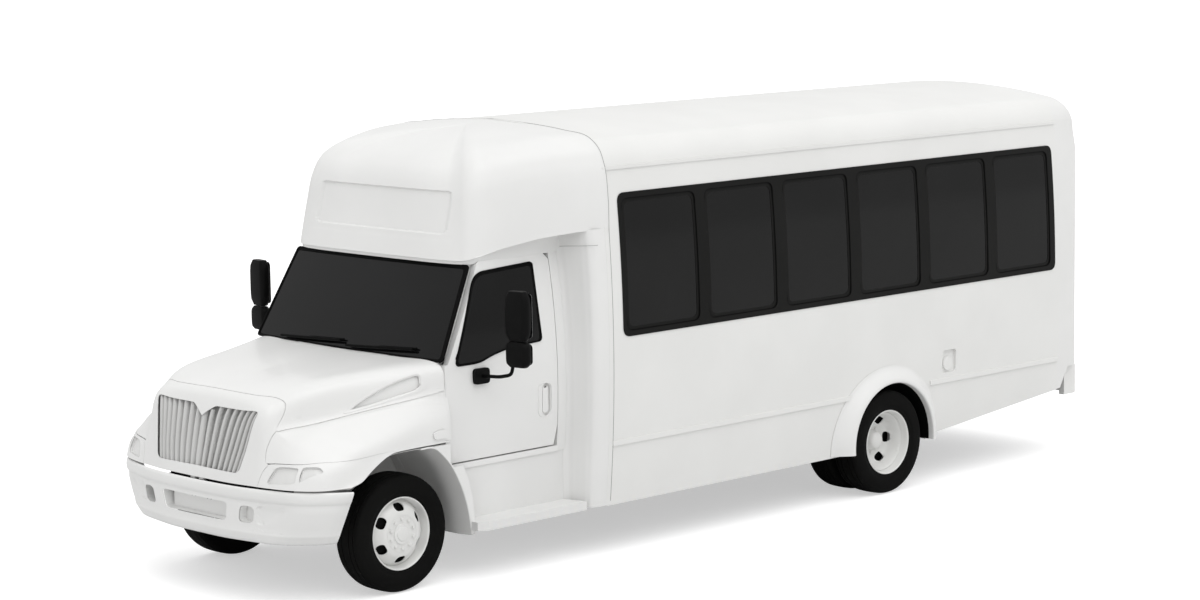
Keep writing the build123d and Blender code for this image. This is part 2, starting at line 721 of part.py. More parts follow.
grille_top, grille_low = 1322.0, 915.0
grille_half_top, grille_half_low = 590.0, 482.0
notch_half, notch_depth = 125.0, 75.0
lamp_inner, lamp_split, lamp_outer = 760.0, 965.0, 1095.0
lamp_low, lamp_top = 866.0, 1000.0
hinge_station, hinge_z = -984.0, 846.0  # the bonnet tilts forward about this line
hinge_x, hinge_lug_w = 90.0, 20.0
hinge_pin_r, hinge_lug_r, hinge_bore_r = 4.0, 9.0, 4.3
hinge_ear_w, hinge_ear_gap = 8.0, 6.0
bonnet_outer = bonnet_form(0)
bonnet_inner = bonnet_form(shell_t)
with BuildPart() as bonnet:
    add(bonnet_outer)
    add(bonnet_inner, mode=Mode.SUBTRACT)
    with BuildSketch(side()):  # everything under the nose's and the wings' lower edges
        with BuildLine():
            Polyline(
                (sta(-1200), nose_low),
                (sta(-500), nose_low),
                (sta(-120), wing_low - 5),
                (sta(bonnet_rear + 10), wing_low + 8),
                (sta(bonnet_rear + 10), 300),
                (sta(-1200), 300),
                close=True,
            )
        make_face()
    extrude(amount=1400, both=True, mode=Mode.SUBTRACT)
    with BuildSketch(cross(-1100)):  # grille opening with its notch, and the lamps
        with BuildLine():
            Polyline(
                (-grille_half_low, grille_low), (grille_half_low, grille_low), (grille_half_top, grille_top),
                (notch_half, grille_top), (0, grille_top - notch_depth), (-notch_half, grille_top),
                (-grille_half_top, grille_top), close=True,
            )
        make_face()
    extrude(amount=-300, mode=Mode.SUBTRACT)
    with BuildSketch(cross(-1100)):
        for s in (-1, 1):
            with Locations((s * (lamp_inner + lamp_outer) / 2, (lamp_low + lamp_top) / 2)):
                RectangleRounded(lamp_outer - lamp_inner, lamp_top - lamp_low, 30)
    extrude(amount=-620, mode=Mode.SUBTRACT)
    ear_x = hinge_lug_w / 2 + hinge_ear_gap + hinge_ear_w / 2
    with BuildSketch(cross(-1100)):  # notches for the hinge's ears
        with Locations(*[(s * hinge_x + e * ear_x, nose_low + 8) for s in (-1, 1) for e in (-1, 1)]):
            Rectangle(hinge_ear_w + 2 * hinge_ear_gap - 1, 20)
    extrude(amount=-200, mode=Mode.SUBTRACT)
    for s in (-1, 1):  # hinge lugs on the nose's lower edge
        with BuildSketch(side(s * hinge_x - hinge_lug_w / 2)):
            with Locations((sta(hinge_station), hinge_z)):
                Circle(hinge_lug_r)
        extrude(amount=hinge_lug_w)
        with BuildSketch(side(s * hinge_x - hinge_lug_w)):
            with Locations((sta(hinge_station), hinge_z)):
                Circle(hinge_bore_r)
        extrude(amount=2 * hinge_lug_w, mode=Mode.SUBTRACT)
save(bonnet, "bonnet")

# lamps: two lenses a side, flush in their openings
with BuildPart() as headlamps:
    add(bonnet_form(5))
    add(bonnet_form(shell_t), mode=Mode.SUBTRACT)
    with BuildSketch(cross(-1100)):
        for s in (-1, 1):
            with Locations((s * (lamp_inner + lamp_outer) / 2, (lamp_low + lamp_top) / 2)):
                RectangleRounded(lamp_outer - lamp_inner - 0.6, lamp_top - lamp_low - 0.6, 29)
    extrude(amount=-620, mode=Mode.INTERSECT)
save(headlamps, "headlamps")

bar_count, bar_w, bar_deep = 8, 34.0, 40.0  # bars on each side of the wider middle one
middle_bar_w = 46.0
grille_mid_station = -917.0 + 48.0
rake = (950.0 - 884.0) / (1300.0 - 925.0)
with BuildPart() as grille:
    for i in range(-bar_count, bar_count + 1):
        share = i / (bar_count + 0.62)
        w = bar_w if i else middle_bar_w
        top = grille_top + 15 if abs(i) > 1 else grille_top - notch_depth + 28
        low_x, top_x = share * grille_half_low, share * (grille_half_low + (grille_half_top - grille_half_low)
                                                         * (top - grille_low) / (grille_top - grille_low))
        with BuildSketch(cross(-1000)):
            with BuildLine():
                Polyline(
                    (low_x - w / 2, grille_low - 15), (low_x + w / 2, grille_low - 15),
                    (top_x + w / 2, top), (top_x - w / 2, top), close=True,
                )
            make_face()
        extrude(amount=-300)
    with BuildSketch(cross(-1000)):
        for z, half in ((grille_low - 2, grille_half_low + 8), (grille_top + 2, grille_half_top + 8)):
            with Locations((0, z)):
                Rectangle(2 * half, 26)
    extrude(amount=-300)
    with BuildSketch(side()):  # raked front and back faces, just behind the nose's shell
        with BuildLine():
            face = sta(-917 + shell_t + 12)
            Polyline(
                (face - rake * 250, 1112.5 - 250), (face + rake * 250, 1112.5 + 250),
                (face + rake * 250 + bar_deep, 1112.5 + 250), (face - rake * 250 + bar_deep, 1112.5 - 250),
                close=True,
            )
        make_face()
    extrude(amount=1400, both=True, mode=Mode.INTERSECT)
    add(bonnet_form(shell_t + 0.3), mode=Mode.INTERSECT)
save(grille, "grille")

# ---------------------------------------------------------------- cab doors, each with its mirror
window_points = (  # station, z of the side window's corners, from its low front corner
    (535.0, 1556.0), (765.0, 1556.0), (850.0, 1590.0), (960.0, 1618.0), (1105.0, 1628.0),
    (1345.0, 1640.0), (1345.0, 2196.0), (845.0, 2168.0), (805.0, 2110.0), (520.0, 1600.0),
)
mirror_x, mirror_station = 1475.0, 746.0
mirror_heads = ((1748.0, 2075.0, 205.0), (1583.0, 1712.0, 205.0))  # low, top, width
mirror_deep = 85.0
mirror_bracket = ((665.0, 1385.0), (820.0, 1510.0))  # low and high corner on the door: station, z


def door_profile(grow=0.0):
    """The door's outline from the side, as (station, z) corners."""
    return (
        (door_front - grow, door_low - grow),
        (door_front - grow, 1560.0 + grow),
        (screen_station(1560.0, 32 - grow), 1560.0 + grow),
        (screen_station(door_top - 45, 32 - grow), door_top - 45),
        (screen_station(door_top, 60 - grow), door_top + grow),
        (door_rear - 70, door_top + grow),
        (door_rear + grow, door_top - 70),
        (door_rear + grow, 1000.0),
        (door_rear - 30 + grow, door_low - grow),
    )


with BuildPart() as cab_door_left:
    with BuildSketch(cross(door_front - 50)):
        add(cab_section(0, door_low - 5, door_top + 5))
        make_face()
        with BuildSketch(cross(door_front - 50), mode=Mode.PRIVATE) as inside:
            add(cab_section(door_t, door_low - 15, door_top + 15))
            make_face()
        add(inside.sketch, mode=Mode.SUBTRACT)
        with Locations((-1000, 1500)):
            Rectangle(2400, 2000, mode=Mode.SUBTRACT)
    extrude(amount=-1400)
    with BuildSketch(side()):
        with BuildLine():
            Polyline(*[(sta(y), z) for y, z in door_profile()], close=True)
        make_face()
    extrude(amount=1400, mode=Mode.INTERSECT)
    with BuildSketch(side()):
        with BuildLine():
            Polyline(*[(sta(y), z) for y, z in window_points], close=True)
        make_face()
    extrude(amount=1400, mode=Mode.SUBTRACT)
    with BuildSketch(side(cab_side(1200) - 22)):  # handle recess
        with Locations((sta(1392), 1200)):
            SlotOverall(240, 90, rotation=90)
    extrude(amount=60, mode=Mode.SUBTRACT)
    with BuildSketch(side(cab_side(1200) - 24)):
        with Locations((sta(1392), 1200)):
            SlotOverall(190, 30, rotation=90)
    extrude(amount=22)
    for z in door_hinge_z:  # pockets open to the inside and the front, with the hinge's barrel in each
        with BuildSketch(Plane.XY.offset(z - 36)):
            with Locations((1014, sta(door_hinge[1] - 8))):
                Rectangle(66, 70)
        extrude(amount=72, mode=Mode.SUBTRACT)
        add(hinge_barrel(door_hinge[0], sta(door_hinge[1]), z, (1052, sta(door_hinge[1]))))
save(cab_door_left, "cab_door_left")

with BuildPart() as cab_glass_left:
    with BuildSketch(cross(door_front - 50)):
        add(cab_section(12, door_low, door_top))
        make_face()
        with BuildSketch(cross(door_front - 50), mode=Mode.PRIVATE) as inside:
            add(cab_section(12 + glass_t, door_low - 5, door_top + 5))
            make_face()
        add(inside.sketch, mode=Mode.SUBTRACT)
        with Locations((-1000, 1500)):
            Rectangle(2400, 2000, mode=Mode.SUBTRACT)
    extrude(amount=-1400)
    with BuildSketch(side()):
        with BuildLine():
            Polyline(*[(sta(y), z) for y, z in window_points], close=True)
        make_face()
        offset(amount=-frame_fit, kind=Kind.INTERSECTION)
    extrude(amount=1400, mode=Mode.INTERSECT)
save(cab_glass_left, "cab_glass_left")

arm_r = 13.0
with BuildPart() as mirror_left:
    (b_front, b_low), (b_rear, b_top) = mirror_bracket
    bracket_x = cab_side(b_low) + frame_fit
    with BuildSketch(side(bracket_x)):
        with Locations((sta((b_front + b_rear) / 2), (b_low + b_top) / 2)):
            RectangleRounded(b_rear - b_front, b_top - b_low, 18)
    extrude(amount=55)
    arm_z = 1478.0
    with BuildSketch(side(bracket_x + 30)):
        with Locations((sta(mirror_station), arm_z)):
            Circle(arm_r)
    extrude(amount=mirror_x - 75 - bracket_x - 30 + arm_r)
    with BuildSketch(Plane.XY.offset(arm_z - arm_r)):
        with Locations((mirror_x - 75, sta(mirror_station))):
            Circle(arm_r)
    extrude(amount=mirror_heads[0][0] + 60 - arm_z + arm_r)
    for low, top, w in mirror_heads:
        with BuildSketch(Plane(origin=(mirror_x, sta(mirror_station), low), x_dir=(1, 0.12, 0), z_dir=(0, 0, 1))):
            RectangleRounded(w + 40, mirror_deep, 30)
        extrude(amount=top - low)
save(mirror_left, "mirror_left")

for left, name in (
    (cab_door_left, "cab_door_right"), (cab_glass_left, "cab_glass_right"), (mirror_left, "mirror_right"),
):
    with BuildPart() as right_hand:
        add(mirror(left.part, about=Plane.YZ))
    save(right_hand, name)

# ---------------------------------------------------------------- bumpers
bumper_top, bumper_low = 825.0, 450.0
bumper_t = 30.0
bumper_bow = (  # x and station of the face's corners at its full width, then at its lower edge
    (0, -1045, 0, -1010), (300, -1035, 300, -1003), (520, -1015, 480, -978), (670, -982, 630, -952),
    (830, -938, 745, -922), (972, -890, 850, -868), (1100, -785, 950, -780), (1200, -672, 1024, -688),
    (1262, -587, 1057, -587),
)
bumper_levels = ((450.0, 0.0), (520.0, 0.4), (600.0, 0.72), (700.0, 1.0), (825.0, 1.0))  # z, share of full width


def bumper_form(inset):
    """The front bumper's form, or the space behind its face."""
    with BuildPart() as form:
        for z, share in bumper_levels:
            reach = inset / 30.0 * (-1 if z == bumper_low else 1 if z == bumper_top else 0)
            with BuildSketch(Plane.XY.offset(z + reach)):
                right = [
                    (share * x + (1 - share) * u - (inset if x else 0), sta(share * y + (1 - share) * v + inset))
                    for x, y, u, v in bumper_bow
                ]
                left = [(-x, y) for x, y in reversed(right[1:])]
                with BuildLine():
                    Polyline(*left, *right, close=True)
                make_face()
        loft(ruled=True)
    return form.part


with BuildPart() as front_bumper:
    add(bumper_form(0))
    add(bumper_form(bumper_t), mode=Mode.SUBTRACT)
    with BuildSketch(cross(-1200)):  # centre recess and the two slots beside it
        with Locations((0, 645)):
            RectangleRounded(720, 122, 25)
        with Locations((-588, 645), (588, 645)):
            RectangleRounded(150, 122, 30)
    extrude(amount=-400, mode=Mode.SUBTRACT)
    for s in (-1, 1):  # brackets back to the frame rails
        with BuildSketch(Plane.XY.offset(rail_top - rail_depth + 20)):
            with Locations((s * rail_x, sta((rail_front - 1012) / 2))):
                Rectangle(rail_w - 10, rail_front + 1012 - 2 * frame_fit)
        extrude(amount=130)
save(front_bumper, "front_bumper")

rear_bumper_top, rear_bumper_low = 735.0, 490.0
rear_bumper_deep, rear_bumper_half = 75.0, 1210.0
rear_bumper_face = wheelbase + rear_overhang
with BuildPart() as rear_bumper:
    with BuildSketch(Plane.XY.offset(rear_bumper_low)):
        with Locations((0, sta(rear_bumper_face - 300))):
            RectangleRounded(2 * rear_bumper_half, 600, 110)
        with Locations((0, sta(rear_bumper_face - 300 - rear_bumper_deep))):
            RectangleRounded(2 * (rear_bumper_half - 55), 600, 70, mode=Mode.SUBTRACT)
        with Locations((0, sta(rear_bumper_face - 230 - 500))):
            Rectangle(3000, 1000, mode=Mode.SUBTRACT)
    extrude(amount=rear_bumper_top - rear_bumper_low)
save(rear_bumper, "rear_bumper")

# ---------------------------------------------------------------- chassis
cross_stations = (
    -880.0, 760.0, 1500.0, 2600.0, 3700.0, wheelbase - 506, wheelbase + 574, rail_rear - 450, rail_rear - 40,
)
cross_w = 60.0
eye_station, eye_z, eye_r, eye_t = rail_rear + 120, 435.0, 20.0, 24.0  # towing eyes under the rear bumper
horn_low, horn_top = 590.0, 720.0  # brackets from the rails' ends to the rear bumper
with BuildPart() as chassis_frame:
    with BuildSketch(Plane.XY.offset(rail_low)):
        with Locations(*[(s * rail_x, sta((rail_front + rail_rear) / 2)) for s in (-1, 1)]):
            Rectangle(rail_w, rail_rear - rail_front)
    extrude(amount=rail_depth)
    with BuildSketch(Plane.XY.offset(rail_low + 40)):
        with Locations(*[(0, sta(y)) for y in cross_stations]):
            Rectangle(2 * rail_x, cross_w)
    extrude(amount=rail_depth - 80)
    horn_end = rear_bumper_face - rear_bumper_deep - frame_fit
    with BuildSketch(Plane.XY.offset(horn_low)):
        with Locations(*[(s * rail_x, sta((rail_rear - 60 + horn_end) / 2)) for s in (-1, 1)]):
            Rectangle(rail_w, horn_end - rail_rear + 60)
    extrude(amount=horn_top - horn_low)
    for s in (-1, 1):
        with BuildSketch(side(s * rail_x - eye_t / 2)):
            with Locations((sta(eye_station), (eye_z + horn_low + 20) / 2)):
                Rectangle(90, horn_low + 20 - eye_z)
            with Locations((sta(eye_station), eye_z)):
                Circle(45)
        extrude(amount=eye_t)
        with BuildSketch(side(s * rail_x - eye_t)):
            with Locations((sta(eye_station), eye_z)):
                Circle(eye_r)
        extrude(amount=2 * eye_t, mode=Mode.SUBTRACT)
        for e in (-1, 1):  # ears for the bonnet's hinge
            with BuildSketch(side(s * hinge_x + e * ear_x - hinge_ear_w / 2)):
                with BuildLine():
                    Polyline(
                        (sta(-880), 750), (sta(-880), 640), (sta(-930), 640), (sta(-978), 780),
                        (sta(-978), hinge_z - 6), (sta(-954), hinge_z - 6), (sta(-936), 790), close=True,
                    )
                make_face()
                with Locations((sta(hinge_station), hinge_z)):
                    Circle(hinge_lug_r)
            extrude(amount=hinge_ear_w)
        with BuildSketch(side(s * hinge_x - ear_x)):
            with Locations((sta(hinge_station), hinge_z)):
                Circle(hinge_pin_r)
        extrude(amount=2 * ear_x)
save(chassis_frame, "chassis_frame")

spring_half, spring_t, spring_w = 620.0, 36.0, 76.0
axle_beam_w, axle_beam_low, axle_beam_top = 84.0, 382.0, 460.0
axle_tube_r = 70.0
with BuildPart() as leaf_springs:
    for station, seat in ((0.0, axle_beam_top), (wheelbase, tyre_r + axle_tube_r)):
        for s in (-1, 1):
            with BuildSketch(side(s * rail_x - spring_w / 2)):
                low, high = seat + frame_fit, rail_low - frame_fit
                ends = [(sta(station + d * spring_half), high) for d in (-1, 1)]
                with BuildLine():
                    ThreePointArc(ends[0], (sta(station), low + spring_t), ends[1])
                    Line(ends[1], (ends[1][0], high - spring_t))
                    ThreePointArc((ends[1][0], high - spring_t), (sta(station), low), (ends[0][0], high - spring_t))
                    Line((ends[0][0], high - spring_t), ends[0])
                make_face()
            extrude(amount=spring_w)
save(leaf_springs, "leaf_springs")

kingpin_r, boss_r, yoke_t, yoke_w = 22.0, 42.0, 30.0, 70.0
pin_fit = 0.3
spindle_r = 45.0
with BuildPart() as front_axle:
    with BuildSketch(Plane.XY.offset(axle_beam_low)):
        with Locations((0, sta(0))):
            Rectangle(2 * kingpin_x - boss_r, axle_beam_w - 10)
        with Locations(*[(s * kingpin_x, sta(0)) for s in (-1, 1)]):
            Circle(boss_r)
            Circle(kingpin_r + pin_fit, mode=Mode.SUBTRACT)
    extrude(amount=axle_beam_top - axle_beam_low)
save(front_axle, "front_axle")


def wheel_plane(station):
    """Cross plane through an axle: local x is +X and local y is the radius upwards."""
    return Plane(origin=(0, sta(station), tyre_r), x_dir=(1, 0, 0), z_dir=(0, -1, 0))


def axle_line(station):
    return Axis((0, sta(station), tyre_r), (1, 0, 0))


def turned(station, points):
    """Revolves (x, radius) corners round an axle's line inside the part being built."""
    with BuildSketch(wheel_plane(station)) as section:
        with BuildLine():
            Polyline(*points, close=True)
        make_face()
    revolve(section.sketch, axis=axle_line(station))


hub_in, hub_out = -66.0, 118.0  # along x from the front tyre's middle
spindle_end = front_track_x + hub_out - 20
with BuildPart() as knuckle_left:
    plate_in = kingpin_x + boss_r + axle_gap
    for z in (axle_beam_low - axle_gap - yoke_t, axle_beam_top + axle_gap):
        with BuildSketch(Plane.XY.offset(z)):
            with Locations(((kingpin_x - 30 + plate_in + 20) / 2, sta(0))):
                Rectangle(plate_in + 20 - kingpin_x + 30, yoke_w)
        extrude(amount=yoke_t)
    with BuildSketch(Plane.XY.offset(axle_beam_low - axle_gap - yoke_t)):
        with Locations((plate_in + 10, sta(0))):
            Rectangle(20, yoke_w)
    extrude(amount=axle_beam_top - axle_beam_low + 2 * axle_gap + 2 * yoke_t)
    with BuildSketch(Plane.XY.offset(axle_beam_low - axle_gap - 1)):
        with Locations((kingpin_x, sta(0))):
            Circle(kingpin_r)
    extrude(amount=axle_beam_top - axle_beam_low + 2 * axle_gap + 2)
    turned(0, ((plate_in, 0), (plate_in, spindle_r), (spindle_end, spindle_r), (spindle_end, 0)))
save(knuckle_left, "knuckle_left")

# tyre section: across from the middle, and radius
tyre_table = ((104, 252), (104, 264), (122, 322), (124, 352), (117, 394), (96, 416), (62, 421))
rim_out_r, rim_in_r, flange_in, flange_out = 251.7, 236.0, 104.3, 112.0


def tyre_section(middle):
    """Closed (x, radius) corners of a tyre round its middle."""
    right = [(middle + x, r) for x, r in tyre_table]
    return right + [(middle - x, r) for x, r in reversed(tyre_table)]


def rim_section(middle):
    """The rim's barrel with both flanges."""
    return (
        (middle - flange_out, rim_in_r), (middle - flange_out, rim_r), (middle - flange_in, rim_r),
        (middle - flange_in, rim_out_r), (middle + flange_in, rim_out_r), (middle + flange_in, rim_r),
        (middle + flange_out, rim_r), (middle + flange_out, rim_in_r),
    )


hand_holes, hand_hole_r = 6, 188.0
stud_count, stud_circle_r, stud_r = 10, 142.0, 11.0


def hand_hole_cuts(station, x):
    """Oval holes through a wheel's disc, cut towards +X from x."""
    with BuildSketch(Plane(origin=(x, sta(station), tyre_r), x_dir=(0, 1, 0), z_dir=(1, 0, 0))) as holes:
        with PolarLocations(hand_hole_r, hand_holes, start_angle=90):
            SlotOverall(74, 42, rotation=90)
    extrude(holes.sketch, amount=90, mode=Mode.SUBTRACT)


with BuildPart() as tyre_front_left:
    turned(0, tyre_section(front_track_x))
save(tyre_front_left, "tyre_front_left")
with BuildPart() as wheel_front_left:
    turned(0, rim_section(front_track_x))
    c = front_track_x
    turned(0, (
        (c + 30, rim_in_r + 2), (c + 60, rim_in_r + 2), (c + 108, 170), (c + 124, 158), (c + 124, 0),
        (c + 96, 0), (c + 96, 140), (c + 80, 160),
    ))
    turned(0, ((c + hub_in, 0), (c + hub_in, 92), (c + 100, 92), (c + 100, 0)))
    turned(0, ((c + 100, 0), (c + 100, 82), (c + 150, 78), (c + 160, 66), (c + 160, 0)))
    hand_hole_cuts(0, c + 55)
    turned_bore = spindle_r + pin_fit
    with BuildSketch(Plane(origin=(c + hub_in - 1, sta(0), tyre_r), x_dir=(0, 1, 0), z_dir=(1, 0, 0))):
        Circle(turned_bore)
    extrude(amount=spindle_end - c - hub_in + 1 + axle_gap, mode=Mode.SUBTRACT)
    with BuildSketch(Plane(origin=(c + 120, sta(0), tyre_r), x_dir=(0, 1, 0), z_dir=(1, 0, 0))):
        with PolarLocations(stud_circle_r - 20, stud_count):
            Circle(stud_r)
    extrude(amount=26)
save(wheel_front_left, "wheel_front_left")

rear_spindle_end = 1100.0
rear_hub_face = 1192.0
disc_x = (dual_outer_x + dual_inner_x) / 2  # the two discs meet here
with BuildPart() as rear_axle:
    turned(wheelbase, ((-735, 0), (-735, axle_tube_r), (735, axle_tube_r), (735, 0)))
    turned(wheelbase, (
        (-735, 0), (-rear_spindle_end, 0), (-rear_spindle_end, spindle_r), (-735, spindle_r),
    ))
    turned(wheelbase, ((735, 0), (rear_spindle_end, 0), (rear_spindle_end, spindle_r), (735, spindle_r)))
    turned(wheelbase, ((-120, 0), (-120, 120), (-70, 185), (70, 185), (120, 120), (120, 0)))
save(rear_axle, "rear_axle")

with BuildPart() as tyre_rear_left:
    turned(wheelbase, tyre_section(dual_outer_x))
    turned(wheelbase, tyre_section(dual_inner_x))
save(tyre_rear_left, "tyre_rear_left")
with BuildPart() as wheel_rear_left:
    for c, s in ((dual_outer_x, -1), (dual_inner_x, 1)):
        turned(wheelbase, rim_section(c))
        turned(wheelbase, (
            (c + s * 30, rim_in_r + 2), (c + s * 60, rim_in_r + 2), (disc_x - s * 14, 168), (disc_x, 150),
            (disc_x, 80), (disc_x - s * 16, 80), (disc_x - s * 22, 148), (c + s * 45, rim_in_r - 12),
        ))
    turned(wheelbase, ((dual_inner_x - 100, 0), (dual_inner_x - 100, 100), (disc_x + 2, 100),
                       (disc_x + 2, 110), (disc_x + 14, 110), (disc_x + 14, 88), (rear_hub_face, 82),
                       (rear_hub_face, 0)))
    with BuildSketch(Plane(origin=(0, sta(wheelbase), tyre_r), x_dir=(0, 1, 0), z_dir=(1, 0, 0))):
        Circle(spindle_r + pin_fit)
    extrude(amount=rear_spindle_end + axle_gap, mode=Mode.SUBTRACT)
    hand_hole_cuts(wheelbase, disc_x - 55)
    with BuildSketch(Plane(origin=(disc_x - 2, sta(wheelbase), tyre_r), x_dir=(0, 1, 0), z_dir=(1, 0, 0))):
        with PolarLocations(stud_circle_r - 15, stud_count):
            Circle(stud_r)
    extrude(amount=34)
save(wheel_rear_left, "wheel_rear_left")

for left, name in (
    (knuckle_left, "knuckle_right"), (tyre_front_left, "tyre_front_right"), (wheel_front_left, "wheel_front_right"),
    (tyre_rear_left, "tyre_rear_right"), (wheel_rear_left, "wheel_rear_right"),
):
    with BuildPart() as right_hand:
        add(mirror(left.part, about=Plane.YZ))
    save(right_hand, name)

engine_front, engine_rear = -640.0, 370.0
gearbox_rear, gearbox_low, gearbox_top = 700.0, 470.0, 620.0
rail_inner = rail_x - rail_w / 2 - frame_fit
radiator_station, radiator_top = -752.0, 1110.0
with BuildPart() as engine_block:
    with BuildSketch(Plane.XY.offset(580)):
        with Locations((0, sta((engine_front + engine_rear) / 2))):
            RectangleRounded(580, engine_rear - engine_front, 60)
    extrude(amount=560)
    with BuildSketch(Plane.XY.offset(gearbox_low)):
        with Locations((0, sta((200 + gearbox_rear) / 2))):
            RectangleRounded(260, gearbox_rear - 200, 50)
    extrude(amount=gearbox_top - gearbox_low)
    with BuildSketch(Plane.XY.offset(690)):  # mounts to the rails
        with Locations((0, sta(0))):
            Rectangle(2 * rail_inner, 120)
    extrude(amount=60)
    with BuildSketch(Plane.XY.offset(rail_low + 20)):  # radiator between the rails' front ends
        with Locations((0, sta(radiator_station))):
            Rectangle(2 * rail_inner, 70)
        with Locations((0, sta((radiator_station + engine_front) / 2))):
            Rectangle(160, engine_front - radiator_station + 40)
    extrude(amount=radiator_top - rail_low - 20)
save(engine_block, "engine_block")

shaft_r = 44.0
shaft_front, shaft_rear = (gearbox_rear + 1.4, 545.0), (wheelbase - 186.5, 450.0)  # station, z
shaft_run = (shaft_rear[0] - shaft_front[0], shaft_rear[1] - shaft_front[1])
with BuildPart() as driveshaft:
    shaft_start = Plane(
        origin=(0, sta(shaft_front[0]), shaft_front[1]), x_dir=(1, 0, 0), z_dir=(0, *shaft_run)
    )
    with BuildSketch(shaft_start):
        Circle(shaft_r)
    extrude(amount=(shaft_run[0] ** 2 + shaft_run[1] ** 2) ** 0.5)
save(driveshaft, "driveshaft")

tank_behind = 654.0  # from the rear axle to the tank's front
with BuildPart() as fuel_tank:
    with BuildSketch(cross(wheelbase + tank_behind)):
        with Locations((0, 560)):
            RectangleRounded(2 * rail_inner, 360, 60)
    extrude(amount=-1180)
save(fuel_tank, "fuel_tank")

muffler_x, muffler_z, muffler_r, pipe_r = 630.0, 590.0, 105.0, 36.0
with BuildPart() as exhaust:
    for front, rear, r in ((820, 4300, pipe_r), (2000, 2900, muffler_r)):
        with BuildSketch(cross(front)):
            with Locations((muffler_x, muffler_z)):
                Circle(r)
        extrude(amount=-(rear - front))
    rail_outer = rail_x + rail_w / 2 + frame_fit
    with BuildSketch(Plane.XY.offset(rail_low + 60)):
        with Locations(*[((muffler_x + rail_outer) / 2, sta(y)) for y in (2150, 2750)]):
            Rectangle(muffler_x - rail_outer, 50)
    extrude(amount=20)
save(exhaust, "exhaust")

# ---------------------------------------------------------------- passenger floor and its steps
floor_half = barrel(floor_top - floor_t, wall) - frame_fit
well_inner, well_mid, well_outer = -640.0, -915.0, -1185.0  # across the entry's two steps
tread_z = (420.0, 690.0)
tread_t = 20.0
sill_half = 600.0
sill_low = rail_top + frame_fit
sill_stations = (
    1700, 2600, 3600, wheelbase - 626, wheelbase, wheelbase + 634, wheelbase + 1374, body_rear - 196,
)
with BuildPart() as floor:
    with BuildSketch(Plane.XY.offset(floor_top - floor_t)):
        with Locations((0, sta((body_front + body_rear) / 2))):
            Rectangle(2 * floor_half, body_rear - body_front)
        with Locations((0, sta((cab_rear + 40 + body_front) / 2))):
            Rectangle(2000, body_front - cab_rear - 40 + 2)
        with Locations((0, sta((body_rear + rear_face - 90) / 2) - 1)):
            Rectangle(2 * (floor_half - 90), rear_face - 90 - body_rear + 2)
        with Locations((-1500 + well_inner, sta((entry_front + entry_rear) / 2))):
            Rectangle(3000, entry_rear - entry_front, mode=Mode.SUBTRACT)
    extrude(amount=floor_t)
    with BuildSketch(Plane.XY.offset(sill_low)):
        with Locations(*[(0, sta(y)) for y in sill_stations]):
            Rectangle(2 * sill_half, 70)
    extrude(amount=floor_top - floor_t - sill_low)
    with BuildSketch(Plane.XY.offset(cab_floor_top + 10)):  # riser up from the cab
        with Locations((0, sta(cab_rear + 55))):
            Rectangle(1700, 30)
    extrude(amount=floor_top - cab_floor_top - 20)
save(floor, "floor")

well_front, well_rear = entry_front + frame_fit, entry_rear - frame_fit
well_top = well_inner - frame_fit
with BuildPart() as entry_steps:
    for z, outer, inner in ((tread_z[0], well_outer, well_mid), (tread_z[1], well_mid - tread_t, well_top)):
        with BuildSketch(Plane.XY.offset(z - tread_t)):
            with Locations(((outer + inner) / 2, sta((well_front + well_rear) / 2))):
                Rectangle(inner - outer, well_rear - well_front)
        extrude(amount=tread_t)
    for x, low, top in (
        (well_mid, tread_z[0] - tread_t, tread_z[1]), (well_top, tread_z[1] - tread_t, floor_top - 2),
    ):
        with BuildSketch(Plane.XY.offset(low)):
            with Locations((x - tread_t / 2, sta((well_front + well_rear) / 2))):
                Rectangle(tread_t, well_rear - well_front)
        extrude(amount=top - low)
    for station in (well_front, well_rear - 12):
        with BuildSketch(cross(station)):
            with BuildLine():
                Polyline(
                    (well_outer, tread_z[0] - tread_t), (well_mid, tread_z[0] - tread_t),
                    (well_top, tread_z[1] - tread_t), (well_top, floor_top - 2),
                    (well_outer, floor_top - 2), close=True,
                )
            make_face()
        extrude(amount=-12)
save(entry_steps, "entry_steps")

# ---------------------------------------------------------------- inside
dash_front, dash_rear, dash_half = 470.0, 800.0, 890.0
with BuildPart() as dashboard:
    with BuildSketch(side(-dash_half)):
        with BuildLine():
            Polyline(
                (sta(dash_front), 1150), (sta(dash_front), 1440), (sta(dash_front + 60), 1500),
                (sta(dash_rear - 120), 1505), (sta(dash_rear), 1440), (sta(dash_rear - 40), 1180), close=True,
            )
        make_face()
    extrude(amount=2 * dash_half)
    with BuildSketch(Plane.XY.offset(cab_floor_top + frame_fit)):  # console under its middle
        with Locations((0, sta(dash_front + 130))):
            Rectangle(300, 260)
    extrude(amount=400)
save(dashboard, "dashboard")

